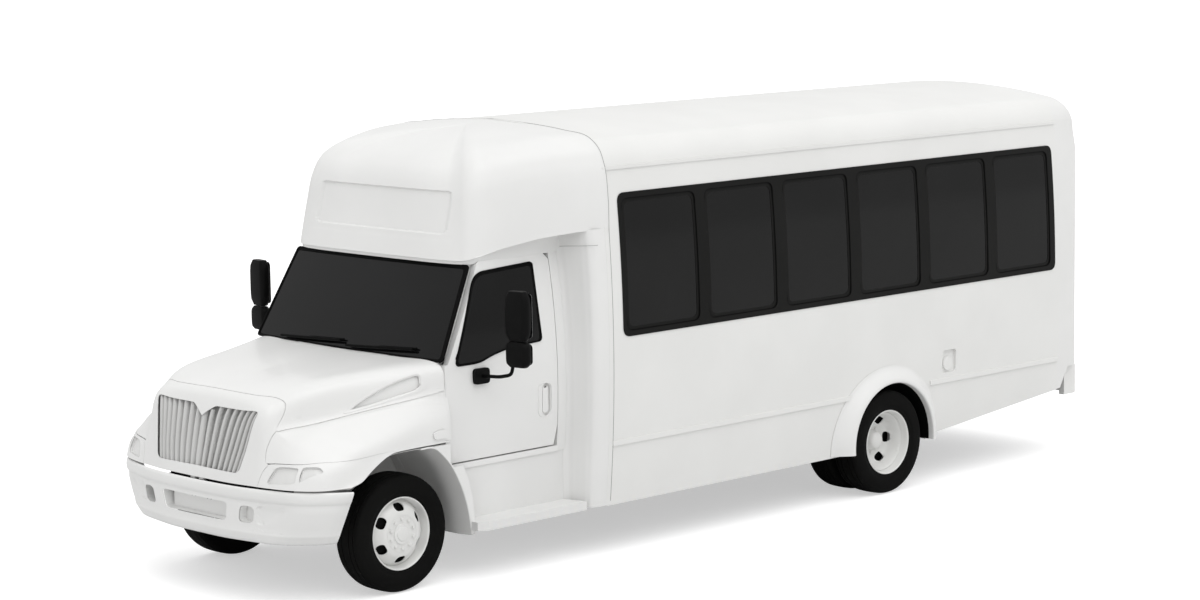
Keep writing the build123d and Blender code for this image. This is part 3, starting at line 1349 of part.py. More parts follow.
helm_x, helm_station, helm_z, helm_r, helm_rim_r = 480.0, 985.0, 1440.0, 215.0, 15.0
helm_tilt = 32.0  # degrees from level
helm_plane = Plane(
    origin=(helm_x, sta(helm_station), helm_z), x_dir=(1, 0, 0),
    z_dir=(0, sin(radians(helm_tilt)), cos(radians(helm_tilt))),
)
with BuildPart() as steering_wheel:
    with BuildSketch(helm_plane.offset(-helm_rim_r)):
        Circle(helm_r)
        Circle(helm_r - 2 * helm_rim_r, mode=Mode.SUBTRACT)
        Circle(55)
        for turn in (90, 210, 330):
            with PolarLocations(helm_r / 2, 1, start_angle=turn):
                Rectangle(helm_r - helm_rim_r, 34)
    extrude(amount=2 * helm_rim_r)
    with BuildSketch(helm_plane.offset(-helm_rim_r)):  # column down to the cab's floor
        Circle(26)
    extrude(amount=-800)
    with BuildSketch(Plane.XY.offset(cab_floor_top + frame_fit - 400)):
        with Locations((helm_x, sta(helm_station - 400))):
            Rectangle(400, 800)
    extrude(amount=400, mode=Mode.SUBTRACT)
save(steering_wheel, "steering_wheel")

with BuildPart() as driver_seat:
    seat_w, seat_front, seat_rear = 500.0, 1080.0, 1540.0
    with BuildSketch(side(helm_x - seat_w / 2)):
        with BuildLine():
            Polyline(
                (sta(seat_front), 1130), (sta(seat_front - 20), 1215), (sta(seat_front + 30), 1250),
                (sta(seat_rear - 130), 1235), (sta(seat_rear - 90), 1950), (sta(seat_rear - 30), 1980),
                (sta(seat_rear), 1940), (sta(seat_rear - 30), 1130), close=True,
            )
        make_face()
    extrude(amount=seat_w)
    with BuildSketch(Plane.XY.offset(cab_floor_top + frame_fit)):
        with Locations((helm_x, sta((seat_front + seat_rear) / 2))):
            Rectangle(400, 320)
    extrude(amount=1140 - cab_floor_top)
save(driver_seat, "driver_seat")

seat_pitch, bench_w, bench_x, bench_deep = 800.0, 900.0, 745.0, 470.0
bench_rows = ((1, 2020.0, 7), (-1, 3020.0, 5))  # side, station of the first seat's front, rows
with BuildPart() as passenger_seats:
    for s, first, rows in bench_rows:
        for row in range(rows):
            front = first + row * seat_pitch
            with BuildSketch(side(s * bench_x - bench_w / 2)):
                with BuildLine():
                    Polyline(
                        (sta(front), 1320), (sta(front - 15), 1400), (sta(front + 30), 1420),
                        (sta(front + bench_deep - 80), 1400), (sta(front + bench_deep - 10), 2040),
                        (sta(front + bench_deep + 40), 2060), (sta(front + bench_deep + 60), 2020),
                        (sta(front + bench_deep), 1320), close=True,
                    )
                make_face()
            extrude(amount=bench_w)
            with BuildSketch(Plane.XY.offset(floor_top + frame_fit)):
                with Locations((s * (bench_x - 250), sta(front + bench_deep / 2)),
                               (s * (bench_x + 300), sta(front + bench_deep / 2))):
                    Rectangle(60, 300)
            extrude(amount=1330 - floor_top)
save(passenger_seats, "passenger_seats")

# ---------------------------------------------------------------- steps, splash panels, flares, lamps
step_in, step_wall, step_out = 1000.0, 1030.0, 1235.0
step_front, step_rear = 575.0, 1570.0
step_low, step_top = 368.0, 430.0
with BuildPart() as cab_steps:
    with BuildSketch(Plane.XY.offset(step_low)):
        with Locations(((step_in + step_wall) / 2, sta((step_front + step_rear) / 2))):
            Rectangle(step_wall - step_in, step_rear - step_front)
    extrude(amount=cab_floor_top - cab_floor_t - frame_fit - step_low)
    with BuildSketch(Plane.XY.offset(step_low)):
        with BuildLine():
            Polyline(
                (step_in, sta(step_front)), (step_out - 40, sta(step_front)), (step_out, sta(step_front + 70)),
                (step_out, sta(step_rear + 40)), (1180, sta(step_rear + 40)), (1060, sta(step_rear)),
                (step_in, sta(step_rear)), close=True,
            )
        make_face()
    extrude(amount=step_top - step_low)
    mirror(about=Plane.YZ)
save(cab_steps, "cab_steps")

splash_r, splash_t = 545.0, 15.0
splash_from, splash_to = -12.0, 42.0  # degrees up from level, round the front wheel
splash_in, splash_out = 750.0, 1120.0
with BuildPart() as splash_panels:
    with BuildSketch(side(splash_in)):
        with BuildLine():
            arcs = []
            for r in (splash_r, splash_r + splash_t):
                turns = [radians(a) for a in (splash_from, (splash_from + splash_to) / 2, splash_to)]
                arcs.append([(sta(r * cos(a)), tyre_r + r * sin(a)) for a in turns])
            ThreePointArc(*arcs[0])
            Line(arcs[0][2], arcs[1][2])
            ThreePointArc(*reversed(arcs[1]))
            Line(arcs[1][0], arcs[0][0])
        make_face()
    extrude(amount=splash_out - splash_in)
    with BuildSketch(side(splash_in)):
        with BuildLine():
            corner = arcs[0][2]
            Polyline(
                corner, (corner[0] - 10, cab_floor_low - frame_fit), (sta(600), cab_floor_low - frame_fit),
                (sta(600), cab_floor_low - 15), arcs[1][2], close=True,
            )
        make_face()
    extrude(amount=990 - splash_in)
    mirror(about=Plane.YZ)
save(splash_panels, "splash_panels")

flare_end = radians(20)  # how far the flare's ring is turned below level before it is cut
flare_centre = Plane(
    origin=(0, sta(arch_station), arch_z), x_dir=(1, 0, 0), z_dir=(0, sin(flare_end), cos(flare_end))
)
with BuildPart() as flare_wall:  # the wall's form grown by its fit, with the arch opening in it
    with BuildSketch(cross(arch_station - 700)):
        with BuildLine():
            levels = [arch_z - 80 + 120 * i for i in range(7)]
            Polyline(*[(barrel(z, -frame_fit), z) for z in levels], (1000, levels[-1]), (1000, levels[0]), close=True)
        make_face()
    extrude(amount=-1400)
    with BuildSketch(side(900)):
        with Locations((sta(arch_station), arch_z)):
            Circle(arch_r - frame_fit)
    extrude(amount=600, mode=Mode.SUBTRACT)
with BuildPart() as wheel_flares:
    with BuildSketch(flare_centre):
        with BuildLine():
            Polyline(
                (1215, flare_lip_r), (flare_lip_x, flare_lip_r), (flare_lip_x, flare_lip_r + 12),
                (1240, flare_r), (1215, flare_r), close=True,
            )
        make_face()
    revolve(axis=Axis(flare_centre.origin, (1, 0, 0)), revolution_arc=220)
    add(flare_wall.part, mode=Mode.SUBTRACT)
    with BuildSketch(side(1000)):
        with Locations((sta(arch_station), arch_z - flare_drop - 500)):
            Rectangle(2000, 1000)
    extrude(amount=500, mode=Mode.SUBTRACT)
    mirror(about=Plane.YZ)
save(wheel_flares, "wheel_flares")

with BuildPart() as tail_lamps:
    add(rear_envelope(2))
    add(rear_envelope(wall - 5), mode=Mode.SUBTRACT)
    with BuildSketch(cross(rear_face - 300)):
        for x in (-lamp_x, lamp_x):
            for z, h in lamp_rows:
                with Locations((x, z)):
                    Rectangle(lamp_w, h)
    extrude(amount=-500, mode=Mode.INTERSECT)
save(tail_lamps, "tail_lamps")

# ---------------------------------------------------------------- body doors
leaf_t = 40.0
leaf_low, leaf_top = entry_low + door_gap, entry_top - door_gap
leaf_middle = (entry_front + entry_rear) / 2
leaf_gap = 36.0  # between the leaves, so that their inner corners pass as they swing
leaf_table = (  # name, station of its front edge, of its rear edge
    ("front", entry_front + door_gap, leaf_middle - leaf_gap / 2),
    ("rear", leaf_middle + leaf_gap / 2, entry_rear - door_gap),
)
leaf_glass_low, leaf_glass_top, leaf_stile = 620.0, 2540.0, 62.0


def leaf_band(inset, thickness, front, rear, low, top, corner):
    """A barrelled panel of the entry between two stations and two heights, with rounded corners."""
    mid = (low + top) / 2
    outer = [(-barrel(z, inset), z) for z in (low - 20, mid, top + 20)]
    inner = [(-barrel(z, inset + thickness), z) for z in (low - 20, mid, top + 20)]
    with BuildPart() as panel:
        with BuildSketch(cross(front)):
            with BuildLine():
                ThreePointArc(*outer)
                Line(outer[2], inner[2])
                ThreePointArc(*reversed(inner))
                Line(inner[0], outer[0])
            make_face()
        extrude(amount=-(rear - front))
        with BuildSketch(side()):
            with Locations((sta((front + rear) / 2), mid)):
                RectangleRounded(rear - front, top - low, corner)
        extrude(amount=-1400, mode=Mode.INTERSECT)
    return panel.part


for name, front, rear in leaf_table:
    with BuildPart() as entry_leaf:
        add(leaf_band(2, leaf_t, front, rear, leaf_low, leaf_top, 12))
        with BuildSketch(side()):
            with Locations((sta((front + rear) / 2), (leaf_glass_low + leaf_glass_top) / 2)):
                RectangleRounded(rear - front - 2 * leaf_stile, leaf_glass_top - leaf_glass_low, 60)
        extrude(amount=-1400, mode=Mode.SUBTRACT)
        station, way = {n: (y, w) for n, y, w in leaf_hinges}[name]
        for z in leaf_hinge_z:
            add(hinge_barrel(-leaf_hinge_x, sta(station), z, (-barrel(z) + 14, sta(station + way * 26))))
    save(entry_leaf, f"entry_leaf_{name}")
    with BuildPart() as entry_glass:
        add(leaf_band(12, glass_t, front + leaf_stile + frame_fit, rear - leaf_stile - frame_fit,
                      leaf_glass_low + frame_fit, leaf_glass_top - frame_fit, 60 - frame_fit))
    save(entry_glass, f"entry_glass_{name}")

rear_glass_half, rear_glass_low, rear_glass_top, rear_glass_round = 310.0, 1600.0, 2330.0, 70.0
with BuildPart() as rear_door:
    add(rear_envelope(1))
    add(rear_envelope(wall - 8), mode=Mode.SUBTRACT)
    with BuildSketch(cross(rear_face - 300)):
        with Locations((0, (rear_door_low + rear_door_top) / 2)):
            Rectangle(rear_door_w, rear_door_top - rear_door_low)
        with Locations((0, (rear_glass_low + rear_glass_top) / 2)):
            RectangleRounded(
                2 * rear_glass_half, rear_glass_top - rear_glass_low, rear_glass_round, mode=Mode.SUBTRACT
            )
    extrude(amount=-500, mode=Mode.INTERSECT)
    for z, fall in rear_hinge_z:
        add(hinge_barrel(rear_hinge[0], sta(rear_hinge[1]), z, (rear_hinge[0] + 26, sta(rear_face - fall - 14))))
save(rear_door, "rear_door")

with BuildPart() as rear_glass:
    add(rear_envelope(12))
    add(rear_envelope(12 + glass_t), mode=Mode.SUBTRACT)
    with BuildSketch(cross(rear_face - 300)):
        with Locations((0, (rear_glass_low + rear_glass_top) / 2)):
            RectangleRounded(
                2 * rear_glass_half - 2 * frame_fit, rear_glass_top - rear_glass_low - 2 * frame_fit,
                rear_glass_round - frame_fit,
            )
    extrude(amount=-500, mode=Mode.INTERSECT)
save(rear_glass, "rear_glass")
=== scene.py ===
"""Looks of a shuttle bus: a passenger body on a bonneted truck chassis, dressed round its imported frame.

Metres. +Z is up, the bus drives towards -Y and +X is its left side. Lengthwise places are stations,
measured back from the front axle; at() turns them into y.
"""

import logging
import math
from dataclasses import dataclass, field
from enum import Enum
from typing import Callable, Sequence

import bmesh
import bpy
import numpy as np
from mathutils import Matrix, Vector


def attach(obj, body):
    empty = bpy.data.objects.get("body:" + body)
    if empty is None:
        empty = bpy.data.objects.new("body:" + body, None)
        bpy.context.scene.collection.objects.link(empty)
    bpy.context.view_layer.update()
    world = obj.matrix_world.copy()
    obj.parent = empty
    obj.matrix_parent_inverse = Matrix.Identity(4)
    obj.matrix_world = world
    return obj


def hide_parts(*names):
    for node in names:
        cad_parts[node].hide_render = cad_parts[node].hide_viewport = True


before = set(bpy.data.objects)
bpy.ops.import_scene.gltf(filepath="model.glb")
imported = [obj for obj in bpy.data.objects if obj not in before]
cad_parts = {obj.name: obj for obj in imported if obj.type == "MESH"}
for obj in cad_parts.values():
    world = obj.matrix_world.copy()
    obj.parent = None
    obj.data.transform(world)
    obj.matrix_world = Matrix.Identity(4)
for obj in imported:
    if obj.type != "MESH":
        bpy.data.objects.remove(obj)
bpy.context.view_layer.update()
log = logging.getLogger("shuttle_bus")

Array = np.ndarray
FRONT_AXLE_Y = -3.270
WHEELBASE = 4.926
TAU = 2 * math.pi
SIDES = (("left", 1), ("right", -1))


def at(station: float) -> float:
    """Returns the y of a station behind the front axle."""
    return FRONT_AXLE_Y + station


# ---------------------------------------------------------------- shader nodes and finishes
def set_inputs(node: bpy.types.Node, **values: float | tuple) -> bpy.types.Node:
    """Sets inputs of a shader node by name, with _ for a space, and returns the node."""
    for name, value in values.items():
        node.inputs[name.replace("_", " ")].default_value = value
    return node


def add_node(tree: bpy.types.NodeTree, kind: str, **values: float | tuple) -> bpy.types.Node:
    """Adds a shader node with its inputs set."""
    return set_inputs(tree.nodes.new(f"ShaderNode{kind}"), **values)


def add_ramp(tree: bpy.types.NodeTree, *stops: tuple[float, tuple[float, float, float]]) -> bpy.types.Node:
    """Adds a colour ramp between two stops of (position, colour)."""
    ramp = add_node(tree, "ValToRGB")
    for element, (position, colour) in zip(ramp.color_ramp.elements, stops):
        element.position = position
        element.color = (*colour, 1.0)
    return ramp


def wire(tree: bpy.types.NodeTree, *pairs: tuple[bpy.types.NodeSocket, bpy.types.NodeSocket]) -> None:
    """Links each pair of an output and an input."""
    for source, target in pairs:
        tree.links.new(source, target)


def grey(level: float) -> tuple[float, float, float]:
    """A neutral colour."""
    return level, level, level


class Grain(Enum):
    """What kind of texture drives a finish's fine roughness and relief."""

    FINE = "fine"
    WOVEN = "woven"


@dataclass(frozen=True)
class Finish:
    """One procedural material: a slow drift between two colours, and a fine roughness and relief."""

    name: str
    colour: tuple[float, float, float]
    drift: tuple[float, float, float]
    rough: float = 0.4
    rough_spread: float = 0.06
    metal: float = 0.0
    coat: float = 0.0
    clear: float = 0.0
    sheen: float = 0.5
    grain: Grain = Grain.FINE
    grain_scale: float = 220.0
    relief: float = 0.0
    drift_scale: float = 1.6

    def material(self) -> bpy.types.Material:
        """Builds the material once and returns it.

        Returns:
            The material: Object coordinates feed a slow noise for the colour and a fast one for
            the roughness and the relief.
        """
        name = f"look_{self.name}"
        known = bpy.data.materials.get(name)
        if known:
            return known
        mat = bpy.data.materials.new(name)
        mat.use_nodes = True
        tree = mat.node_tree
        shader = set_inputs(
            tree.nodes["Principled BSDF"], Metallic=self.metal, Coat_Weight=self.coat, Coat_Roughness=0.08,
            Transmission_Weight=self.clear, Specular_IOR_Level=self.sheen,
        )
        place = add_node(tree, "TexCoord").outputs["Object"]
        slow = add_node(tree, "TexNoise", Scale=self.drift_scale, Detail=3.0)
        ramp = add_ramp(tree, (0.35, self.drift), (0.65, self.colour))
        fast = self.grain_node(tree)
        spread = add_node(
            tree, "MapRange", To_Min=max(0.02, self.rough - self.rough_spread),
            To_Max=min(1.0, self.rough + self.rough_spread),
        )
        wire(
            tree, (place, slow.inputs["Vector"]), (slow.outputs["Fac"], ramp.inputs["Fac"]),
            (ramp.outputs["Color"], shader.inputs["Base Color"]), (place, fast.inputs["Vector"]),
            (fast.outputs[0], spread.inputs["Value"]), (spread.outputs["Result"], shader.inputs["Roughness"]),
        )
        if self.relief > 0:
            bump = add_node(tree, "Bump", Strength=0.35, Distance=self.relief)
            wire(
                tree, (fast.outputs[0], bump.inputs["Height"]),
                (bump.outputs["Normal"], shader.inputs["Normal"]),
            )
        return mat

    def grain_node(self, tree: bpy.types.NodeTree) -> bpy.types.Node:
        """Adds the texture node of the fine grain, whose first output runs from 0 to 1."""
        if self.grain is Grain.WOVEN:
            return add_node(tree, "TexWave", Scale=self.grain_scale, Distortion=2.0)
        return add_node(tree, "TexNoise", Scale=self.grain_scale, Detail=2.0)


COACH_WHITE = Finish("coach_white", (0.80, 0.80, 0.785), (0.775, 0.775, 0.76), 0.42, 0.05, coat=0.1)
CAB_WHITE = Finish("cab_white", (0.80, 0.80, 0.79), (0.775, 0.775, 0.765), 0.38, 0.05, coat=0.15)
MOULDED_WHITE = Finish("moulded_white", (0.80, 0.80, 0.79), (0.775, 0.775, 0.765), 0.45, 0.05, coat=0.1)
RIM_WHITE = Finish("rim_white", (0.76, 0.76, 0.745), (0.73, 0.73, 0.715), 0.42, 0.05, coat=0.1)
# painted shade: the grille is white, and this grey stands in for the shade on its set-back bars
GRILLE_SHADE_GREY = Finish("grille_bar_shade", (0.60, 0.60, 0.59), (0.56, 0.56, 0.55), 0.4, 0.05, coat=0.1)
SATIN_BLACK = Finish("satin_black", (0.007, 0.007, 0.0065), (0.005, 0.005, 0.0045), 0.45, sheen=0.12)
SEAL_BLACK = Finish("seal_black", grey(0.003), grey(0.002), 0.6, sheen=0.06)
MIRROR_BLACK = Finish("mirror_black", grey(0.004), grey(0.003), 0.5, sheen=0.08, relief=0.0003)
MIRROR_GLASS = Finish("mirror_glass", (0.82, 0.83, 0.84), (0.80, 0.81, 0.82), 0.05, 0.02, metal=1.0)
TINTED_GLASS = Finish(
    "tinted_glass", (0.008, 0.008, 0.0078), (0.006, 0.006, 0.0058), 0.10, 0.02, clear=0.35, sheen=0.08)
SCREEN_GLASS = Finish(
    "screen_glass", (0.006, 0.006, 0.0065), (0.002, 0.002, 0.0018), 0.10, 0.02, clear=0.35, sheen=0.08,
    drift_scale=0.8)
LENS_CLEAR = Finish("lens_clear", (0.78, 0.78, 0.77), (0.74, 0.74, 0.73), 0.2, 0.04, coat=0.3)
LENS_RED = Finish("lens_red", (0.30, 0.015, 0.012), (0.26, 0.012, 0.01), 0.15, 0.04, coat=0.4)
TYRE_BLACK = Finish(
    "tyre_black", (0.0045, 0.0045, 0.0042), (0.003, 0.003, 0.0028), 0.75, 0.08, sheen=0.08,
    grain_scale=140.0, relief=0.0006)
CHASSIS_BLACK = Finish("chassis_black", grey(0.014), grey(0.009), 0.6, 0.08, sheen=0.2, relief=0.0004)
LINER_GREY = Finish("liner_grey", (0.62, 0.62, 0.61), (0.57, 0.57, 0.56), 0.6, sheen=0.2, relief=0.0004)
CAST_IRON = Finish("cast_iron", grey(0.10), grey(0.07), 0.6, 0.08, metal=0.5, relief=0.0008)
DASH_GREY = Finish("dash_grey", (0.05, 0.05, 0.052), (0.04, 0.04, 0.042), 0.6, relief=0.0004)
FLOOR_RUBBER = Finish(
    "floor_rubber", (0.03, 0.03, 0.032), (0.02, 0.02, 0.021), 0.8, grain_scale=160.0, relief=0.0006)
SEAT_CLOTH = Finish(
    "seat_cloth", (0.075, 0.085, 0.115), (0.055, 0.062, 0.085), 0.85, grain=Grain.WOVEN,
    grain_scale=300.0, relief=0.0008, drift_scale=12.0)
# painted shade: the grey of the seam tubes stands in for the shade in the thin grooves where panels meet
SEAM_SHADE_GREY = Finish("seam_groove_shade", (0.40, 0.40, 0.395), (0.34, 0.34, 0.335), 0.7, 0.05, sheen=0.1)
STEP_WHITE = Finish("step_white", (0.78, 0.78, 0.77), (0.74, 0.74, 0.73), 0.5, relief=0.0004)

FINISH_NODES: dict[Finish, str] = {
    COACH_WHITE: "side_wall_left side_wall_right roof rear_bumper entry_leaf_front entry_leaf_rear",
    MOULDED_WHITE: "rear_cap front_cap front_fairings wheel_flares rear_door",
    CAB_WHITE: "cab_shell bonnet cab_door_left cab_door_right front_bumper",
    TINTED_GLASS: "window_glass_left window_glass_right entry_glass_front entry_glass_rear rear_glass",
    SCREEN_GLASS: "windscreen cab_glass_left cab_glass_right",
    SATIN_BLACK: "window_frame_left window_frame_right",
    MIRROR_BLACK: "mirror_left mirror_right",
    CHASSIS_BLACK: "chassis_frame leaf_springs front_axle knuckle_left knuckle_right rear_axle driveshaft"
                   " fuel_tank exhaust",
    TYRE_BLACK: "tyre_front_left tyre_front_right tyre_rear_left tyre_rear_right",
    RIM_WHITE: "wheel_front_left wheel_front_right wheel_rear_left wheel_rear_right",
    DASH_GREY: "dashboard steering_wheel",
    SEAT_CLOTH: "driver_seat passenger_seats",
    FLOOR_RUBBER: "floor entry_steps",
    LENS_CLEAR: "headlamps",
    # the frame's grille node also takes the bars' painted shade grey
    GRILLE_SHADE_GREY: "grille",
    CAST_IRON: "engine_block",
    STEP_WHITE: "cab_steps",
    LINER_GREY: "splash_panels",
    LENS_RED: "tail_lamps",
}


# ---------------------------------------------------------------- surfaces from arrays
def eased(share: Array) -> Array:
    """A smooth step from 0 to 1: three times the share squared less twice its cube."""
    return share**2 * (3 - 2 * share)


def hermite(points: Array, slopes: Array, i: Array, s: Array, step: Array | float = 1.0) -> Array:
    """The cubic from point i to the next one that keeps both points' slopes.

    Args:
        points: the points, along the first axis.
        slopes: the slope at each of them.
        i: the index of the point before each place.
        s: each place's share of the way to the next point.
        step: the length between the two points, in the unit of the slopes.

    Returns:
        One point for each place.
    """
    return (
        (2 * s**3 - 3 * s**2 + 1) * points[i] + (s**3 - 2 * s**2 + s) * step * slopes[i]
        + (3 * s**2 - 2 * s**3) * points[i + 1] + (s**3 - s**2) * step * slopes[i + 1]
    )


def rounded_box(width: float, height: float, radius: float, steps: int = 6) -> Array:
    """Closed outline of a rounded rectangle round the origin, counter-clockwise.

    Each corner is a quarter circle: the corner's centre plus the radius times the cosine and sine
    of an angle that runs over its quarter.

    Args:
        width: full size along the first axis.
        height: full size along the second axis.
        radius: the corners' radius.
        steps: points in each corner.

    Returns:
        An array of points, two columns.
    """
    turns = np.linspace(0, math.pi / 2, steps)
    centres = np.array([(1, 1), (-1, 1), (-1, -1), (1, -1)]) * (width / 2 - radius, height / 2 - radius)
    rings = [
        c + radius * np.stack([np.cos(turns + i * math.pi / 2), np.sin(turns + i * math.pi / 2)], 1)
        for i, c in enumerate(centres)
    ]
    return np.concatenate(rings)


def rounded_rect(low: Sequence[float], high: Sequence[float], radius: float, steps: int = 6) -> Array:
    """Closed outline between two opposite corners, each corner rounded by rounded_outline()."""
    (u0, v0), (u1, v1) = low, high
    return rounded_outline([(u0, v0, radius), (u1, v0, radius), (u1, v1, radius), (u0, v1, radius)], steps)


def rounded_outline(corners: Sequence[tuple[float, float, float]], steps: int = 6) -> Array:
    """Closed outline with each corner rounded by its own radius.

    A corner's arc is a quadratic blend between the points where the rounding starts and ends:
    (1-t) squared times the start, plus 2t(1-t) times the corner, plus t squared times the end.

    Args:
        corners: (u, v, radius) of each corner, in order.
        steps: points on each rounded corner.

    Returns:
        An array of points, two columns.
    """
    points = np.array([c[:2] for c in corners], float)
    t = np.linspace(0, 1, steps)[:, None]
    out = []
    for i, (*_, r) in enumerate(corners):
        here = points[i]
        before, after = points[i - 1] - here, points[(i + 1) % len(points)] - here
        if r <= 0:
            out.append(here[None])
            continue
        lengths = np.linalg.norm(before), np.linalg.norm(after)
        start = here + before / lengths[0] * min(r, lengths[0] * 0.48)
        end = here + after / lengths[1] * min(r, lengths[1] * 0.48)
        out.append((1 - t) ** 2 * start + 2 * t * (1 - t) * here + t**2 * end)
    return np.concatenate(out)


def smooth_path(points: Sequence[Sequence[float]], count: int) -> Array:
    """A smooth curve through given points: Catmull-Rom cubics by chord length.

    Args:
        points: the points to pass through.
        count: how many points to return, evenly spread in the parameter.

    Returns:
        An array with one row for each point.
    """
    p = np.asarray(points, float)
    gaps = np.maximum(np.linalg.norm(np.diff(p, axis=0), axis=1), 1e-9)
    knots = np.concatenate([[0], np.cumsum(gaps)])
    slopes = np.gradient(p, knots, axis=0)
    t = np.linspace(0, knots[-1], count)
    i = np.clip(np.searchsorted(knots, t, side="right") - 1, 0, len(p) - 2)
    h = gaps[i][:, None]
    s = ((t - knots[i]) / gaps[i])[:, None]
    return hermite(p, slopes, i, s, h)


def grown(ring: Array, share: float | tuple[float, float]) -> Array:
    """An outline scaled about its mean point."""
    middle = ring.mean(0)
    return (ring - middle) * share + middle


def side_plane(half_width: Callable[[Array], Array], lift: float = 0.0) -> Callable[[Array, Array], Array]:
    """Returns a function that lays stations and heights on a left side face, lifted off it.

    Args:
        half_width: gives the face's x at each height.
        lift: how far outside the face.

    Returns:
        A function of stations and heights.
    """
    return lambda u, v: np.column_stack([half_width(v) + lift, at(0) + u, v])


BUILT: list[bpy.types.Object] = []  # every piece, in the order of making


@dataclass
class Shape:
    """A mesh gathered from arrays of points, then built as one piece."""

    points: list[Array] = field(default_factory=list)
    faces: list[list[int]] = field(default_factory=list)
    count: int = 0

    def add(self, points: Array, faces: Sequence[Sequence[int]]) -> "Shape":
        """Adds points and the faces between them, and returns the shape."""
        self.faces += [[int(i) + self.count for i in f] for f in faces]
        self.points.append(np.asarray(points, float).reshape(-1, 3))
        self.count += len(self.points[-1])
        return self

    def grid(self, rows: Array, wrap: bool = False, loop: bool = False, caps: bool = False) -> "Shape":
        """Adds a surface given as a grid of points.

        Args:
            rows: array of rows x columns x 3.
            wrap: whether each row closes on itself.
            loop: whether the last row joins the first.
            caps: whether the first and last rows are filled.

        Returns:
            The shape.
        """
        n, m = rows.shape[:2]
        index = np.arange(n * m).reshape(n, m)
        a = index if loop else index[:-1]
        b = np.roll(index, -1, 0) if loop else index[1:]
        if wrap:
            quads = np.stack([a, np.roll(a, -1, 1), np.roll(b, -1, 1), b], -1)
        else:
            quads = np.stack([a[:, :-1], a[:, 1:], b[:, 1:], b[:, :-1]], -1)
        faces = quads.reshape(-1, 4).tolist()
        if caps:
            faces += [index[0][::-1].tolist(), index[-1].tolist()]
        return self.add(rows, faces)

    def box(self, low: Sequence[float], high: Sequence[float]) -> "Shape":
        """Adds an upright box between two corners."""
        (x0, y0, z0), (x1, y1, z1) = low, high
        rings = [[(x0, y0, z), (x1, y0, z), (x1, y1, z), (x0, y1, z)] for z in (z0, z1)]
        return self.grid(np.array(rings), wrap=True, caps=True)

    def mirrored(self) -> "Shape":
        """Adds the mirror image across the bus and returns the shape."""
        flipped = [p * (-1, 1, 1) for p in self.points]
        faces = [[i + self.count for i in reversed(f)] for f in self.faces]
        self.points += flipped
        self.faces += faces
        self.count *= 2
        return self

    def handed(self, sign: int) -> "Shape":
        """Flips the shape to the right side when sign is -1, and returns it."""
        if sign < 0:
            self.points = [p * (-1, 1, 1) for p in self.points]
            self.faces = [f[::-1] for f in self.faces]
        return self

    def turned(self, profile: Array, centre: Sequence[float], steps: int = 64) -> "Shape":
        """Adds a profile of (x, radius) turned round a line through centre along X.

        A point is the centre plus x along the line, and the radius times the cosine along Y and
        the sine along Z.

        Args:
            profile: the (x, radius) corners of a closed section.
            centre: a point of the line; its x is added.
            steps: how many positions round the circle.

        Returns:
            The shape.
        """
        turn = np.linspace(0, TAU, steps, endpoint=False)[:, None]
        x, r = profile[:, 0][None], profile[:, 1][None]
        rows = np.stack(
            [centre[0] + x + 0 * turn, centre[1] + r * np.cos(turn), centre[2] + r * np.sin(turn)], -1)
        return self.grid(rows, wrap=True, loop=True)

    def tube(self, path: Array, radius: float, steps: int = 14) -> "Shape":
        """Adds a round bar along a path.

        Each ring is the path's point plus the radius times the cosine and sine along two
        directions square to the path.

        Args:
            path: the points of its middle line.
            radius: its radius.
            steps: points round it.

        Returns:
            The shape.
        """
        along = np.gradient(path, axis=0)
        along /= np.linalg.norm(along, axis=1)[:, None]
        guide = np.array([0.0, 0.0, 1.0]) if abs(along[0][2]) < 0.8 else np.array([1.0, 0.0, 0.0])
        across = np.cross(along, guide)
        across /= np.linalg.norm(across, axis=1)[:, None]
        up = np.cross(across, along)
        turn = np.linspace(0, TAU, steps, endpoint=False)
        ring = np.cos(turn)[None, :, None] * across[:, None] + np.sin(turn)[None, :, None] * up[:, None]
        return self.grid(path[:, None] + radius * ring, wrap=True, caps=True)

    def bead(self, ring: Array, radius: float, steps: int) -> "Shape":
        """Adds a round bar that follows a closed ring of points back to its start."""
        return self.tube(np.concatenate([ring, ring[:1]]), radius, steps)

    def build(
        self, name: str, finish: Finish, body: str, slot: str, replaces: Sequence[str] = (),
        thick: float = 0.0, bevel: float = 0.0, sharp: float = 38.0, merge: float = 1e-5,
    ) -> bpy.types.Object:
        """Makes the piece, dresses it and lets it ride on its body.

        Args:
            name: the piece's name.
            finish: its material.
            body: the body that it rides on.
            slot: the record's material slot; not used.
            replaces: the frame's nodes that it stands for.
            thick: thickness given inwards to a sheet, or 0 for a closed form.
            bevel: radius of its rounded edges.
            sharp: angle in degrees above which an edge is drawn sharp.
            merge: distance under which points are joined.

        Returns:
            The object.
        """
        mesh = bpy.data.meshes.new(name)
        mesh.from_pydata(np.concatenate(self.points).tolist(), [], self.faces)
        work = bmesh.new()
        work.from_mesh(mesh)
        bmesh.ops.remove_doubles(work, verts=work.verts, dist=merge)
        bmesh.ops.dissolve_degenerate(work, edges=work.edges, dist=1e-6)
        if thick == 0:
            bmesh.ops.recalc_face_normals(work, faces=work.faces)
        for face in work.faces:
            face.smooth = True
        for edge in work.edges:
            inner = len(edge.link_faces) == 2
            edge.smooth = inner and edge.calc_face_angle(0.0) < math.radians(sharp)
        work.to_mesh(mesh)
        work.free()
        piece = bpy.data.objects.new(name, mesh)
        bpy.context.scene.collection.objects.link(piece)
        mesh.materials.append(finish.material())
        if thick:
            wall = piece.modifiers.new("wall", "SOLIDIFY")
            wall.thickness = thick
            wall.offset = -1.0
            wall.use_even_offset = True
        if bevel:
            edge = piece.modifiers.new("edges", "BEVEL")
            edge.width = bevel
            edge.segments = 3
            edge.limit_method = "ANGLE"
            edge.angle_limit = math.radians(sharp)
            edge.use_clamp_overlap = True
        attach(piece, body)
        if replaces:
            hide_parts(*replaces)
        BUILT.append(piece)
        return piece


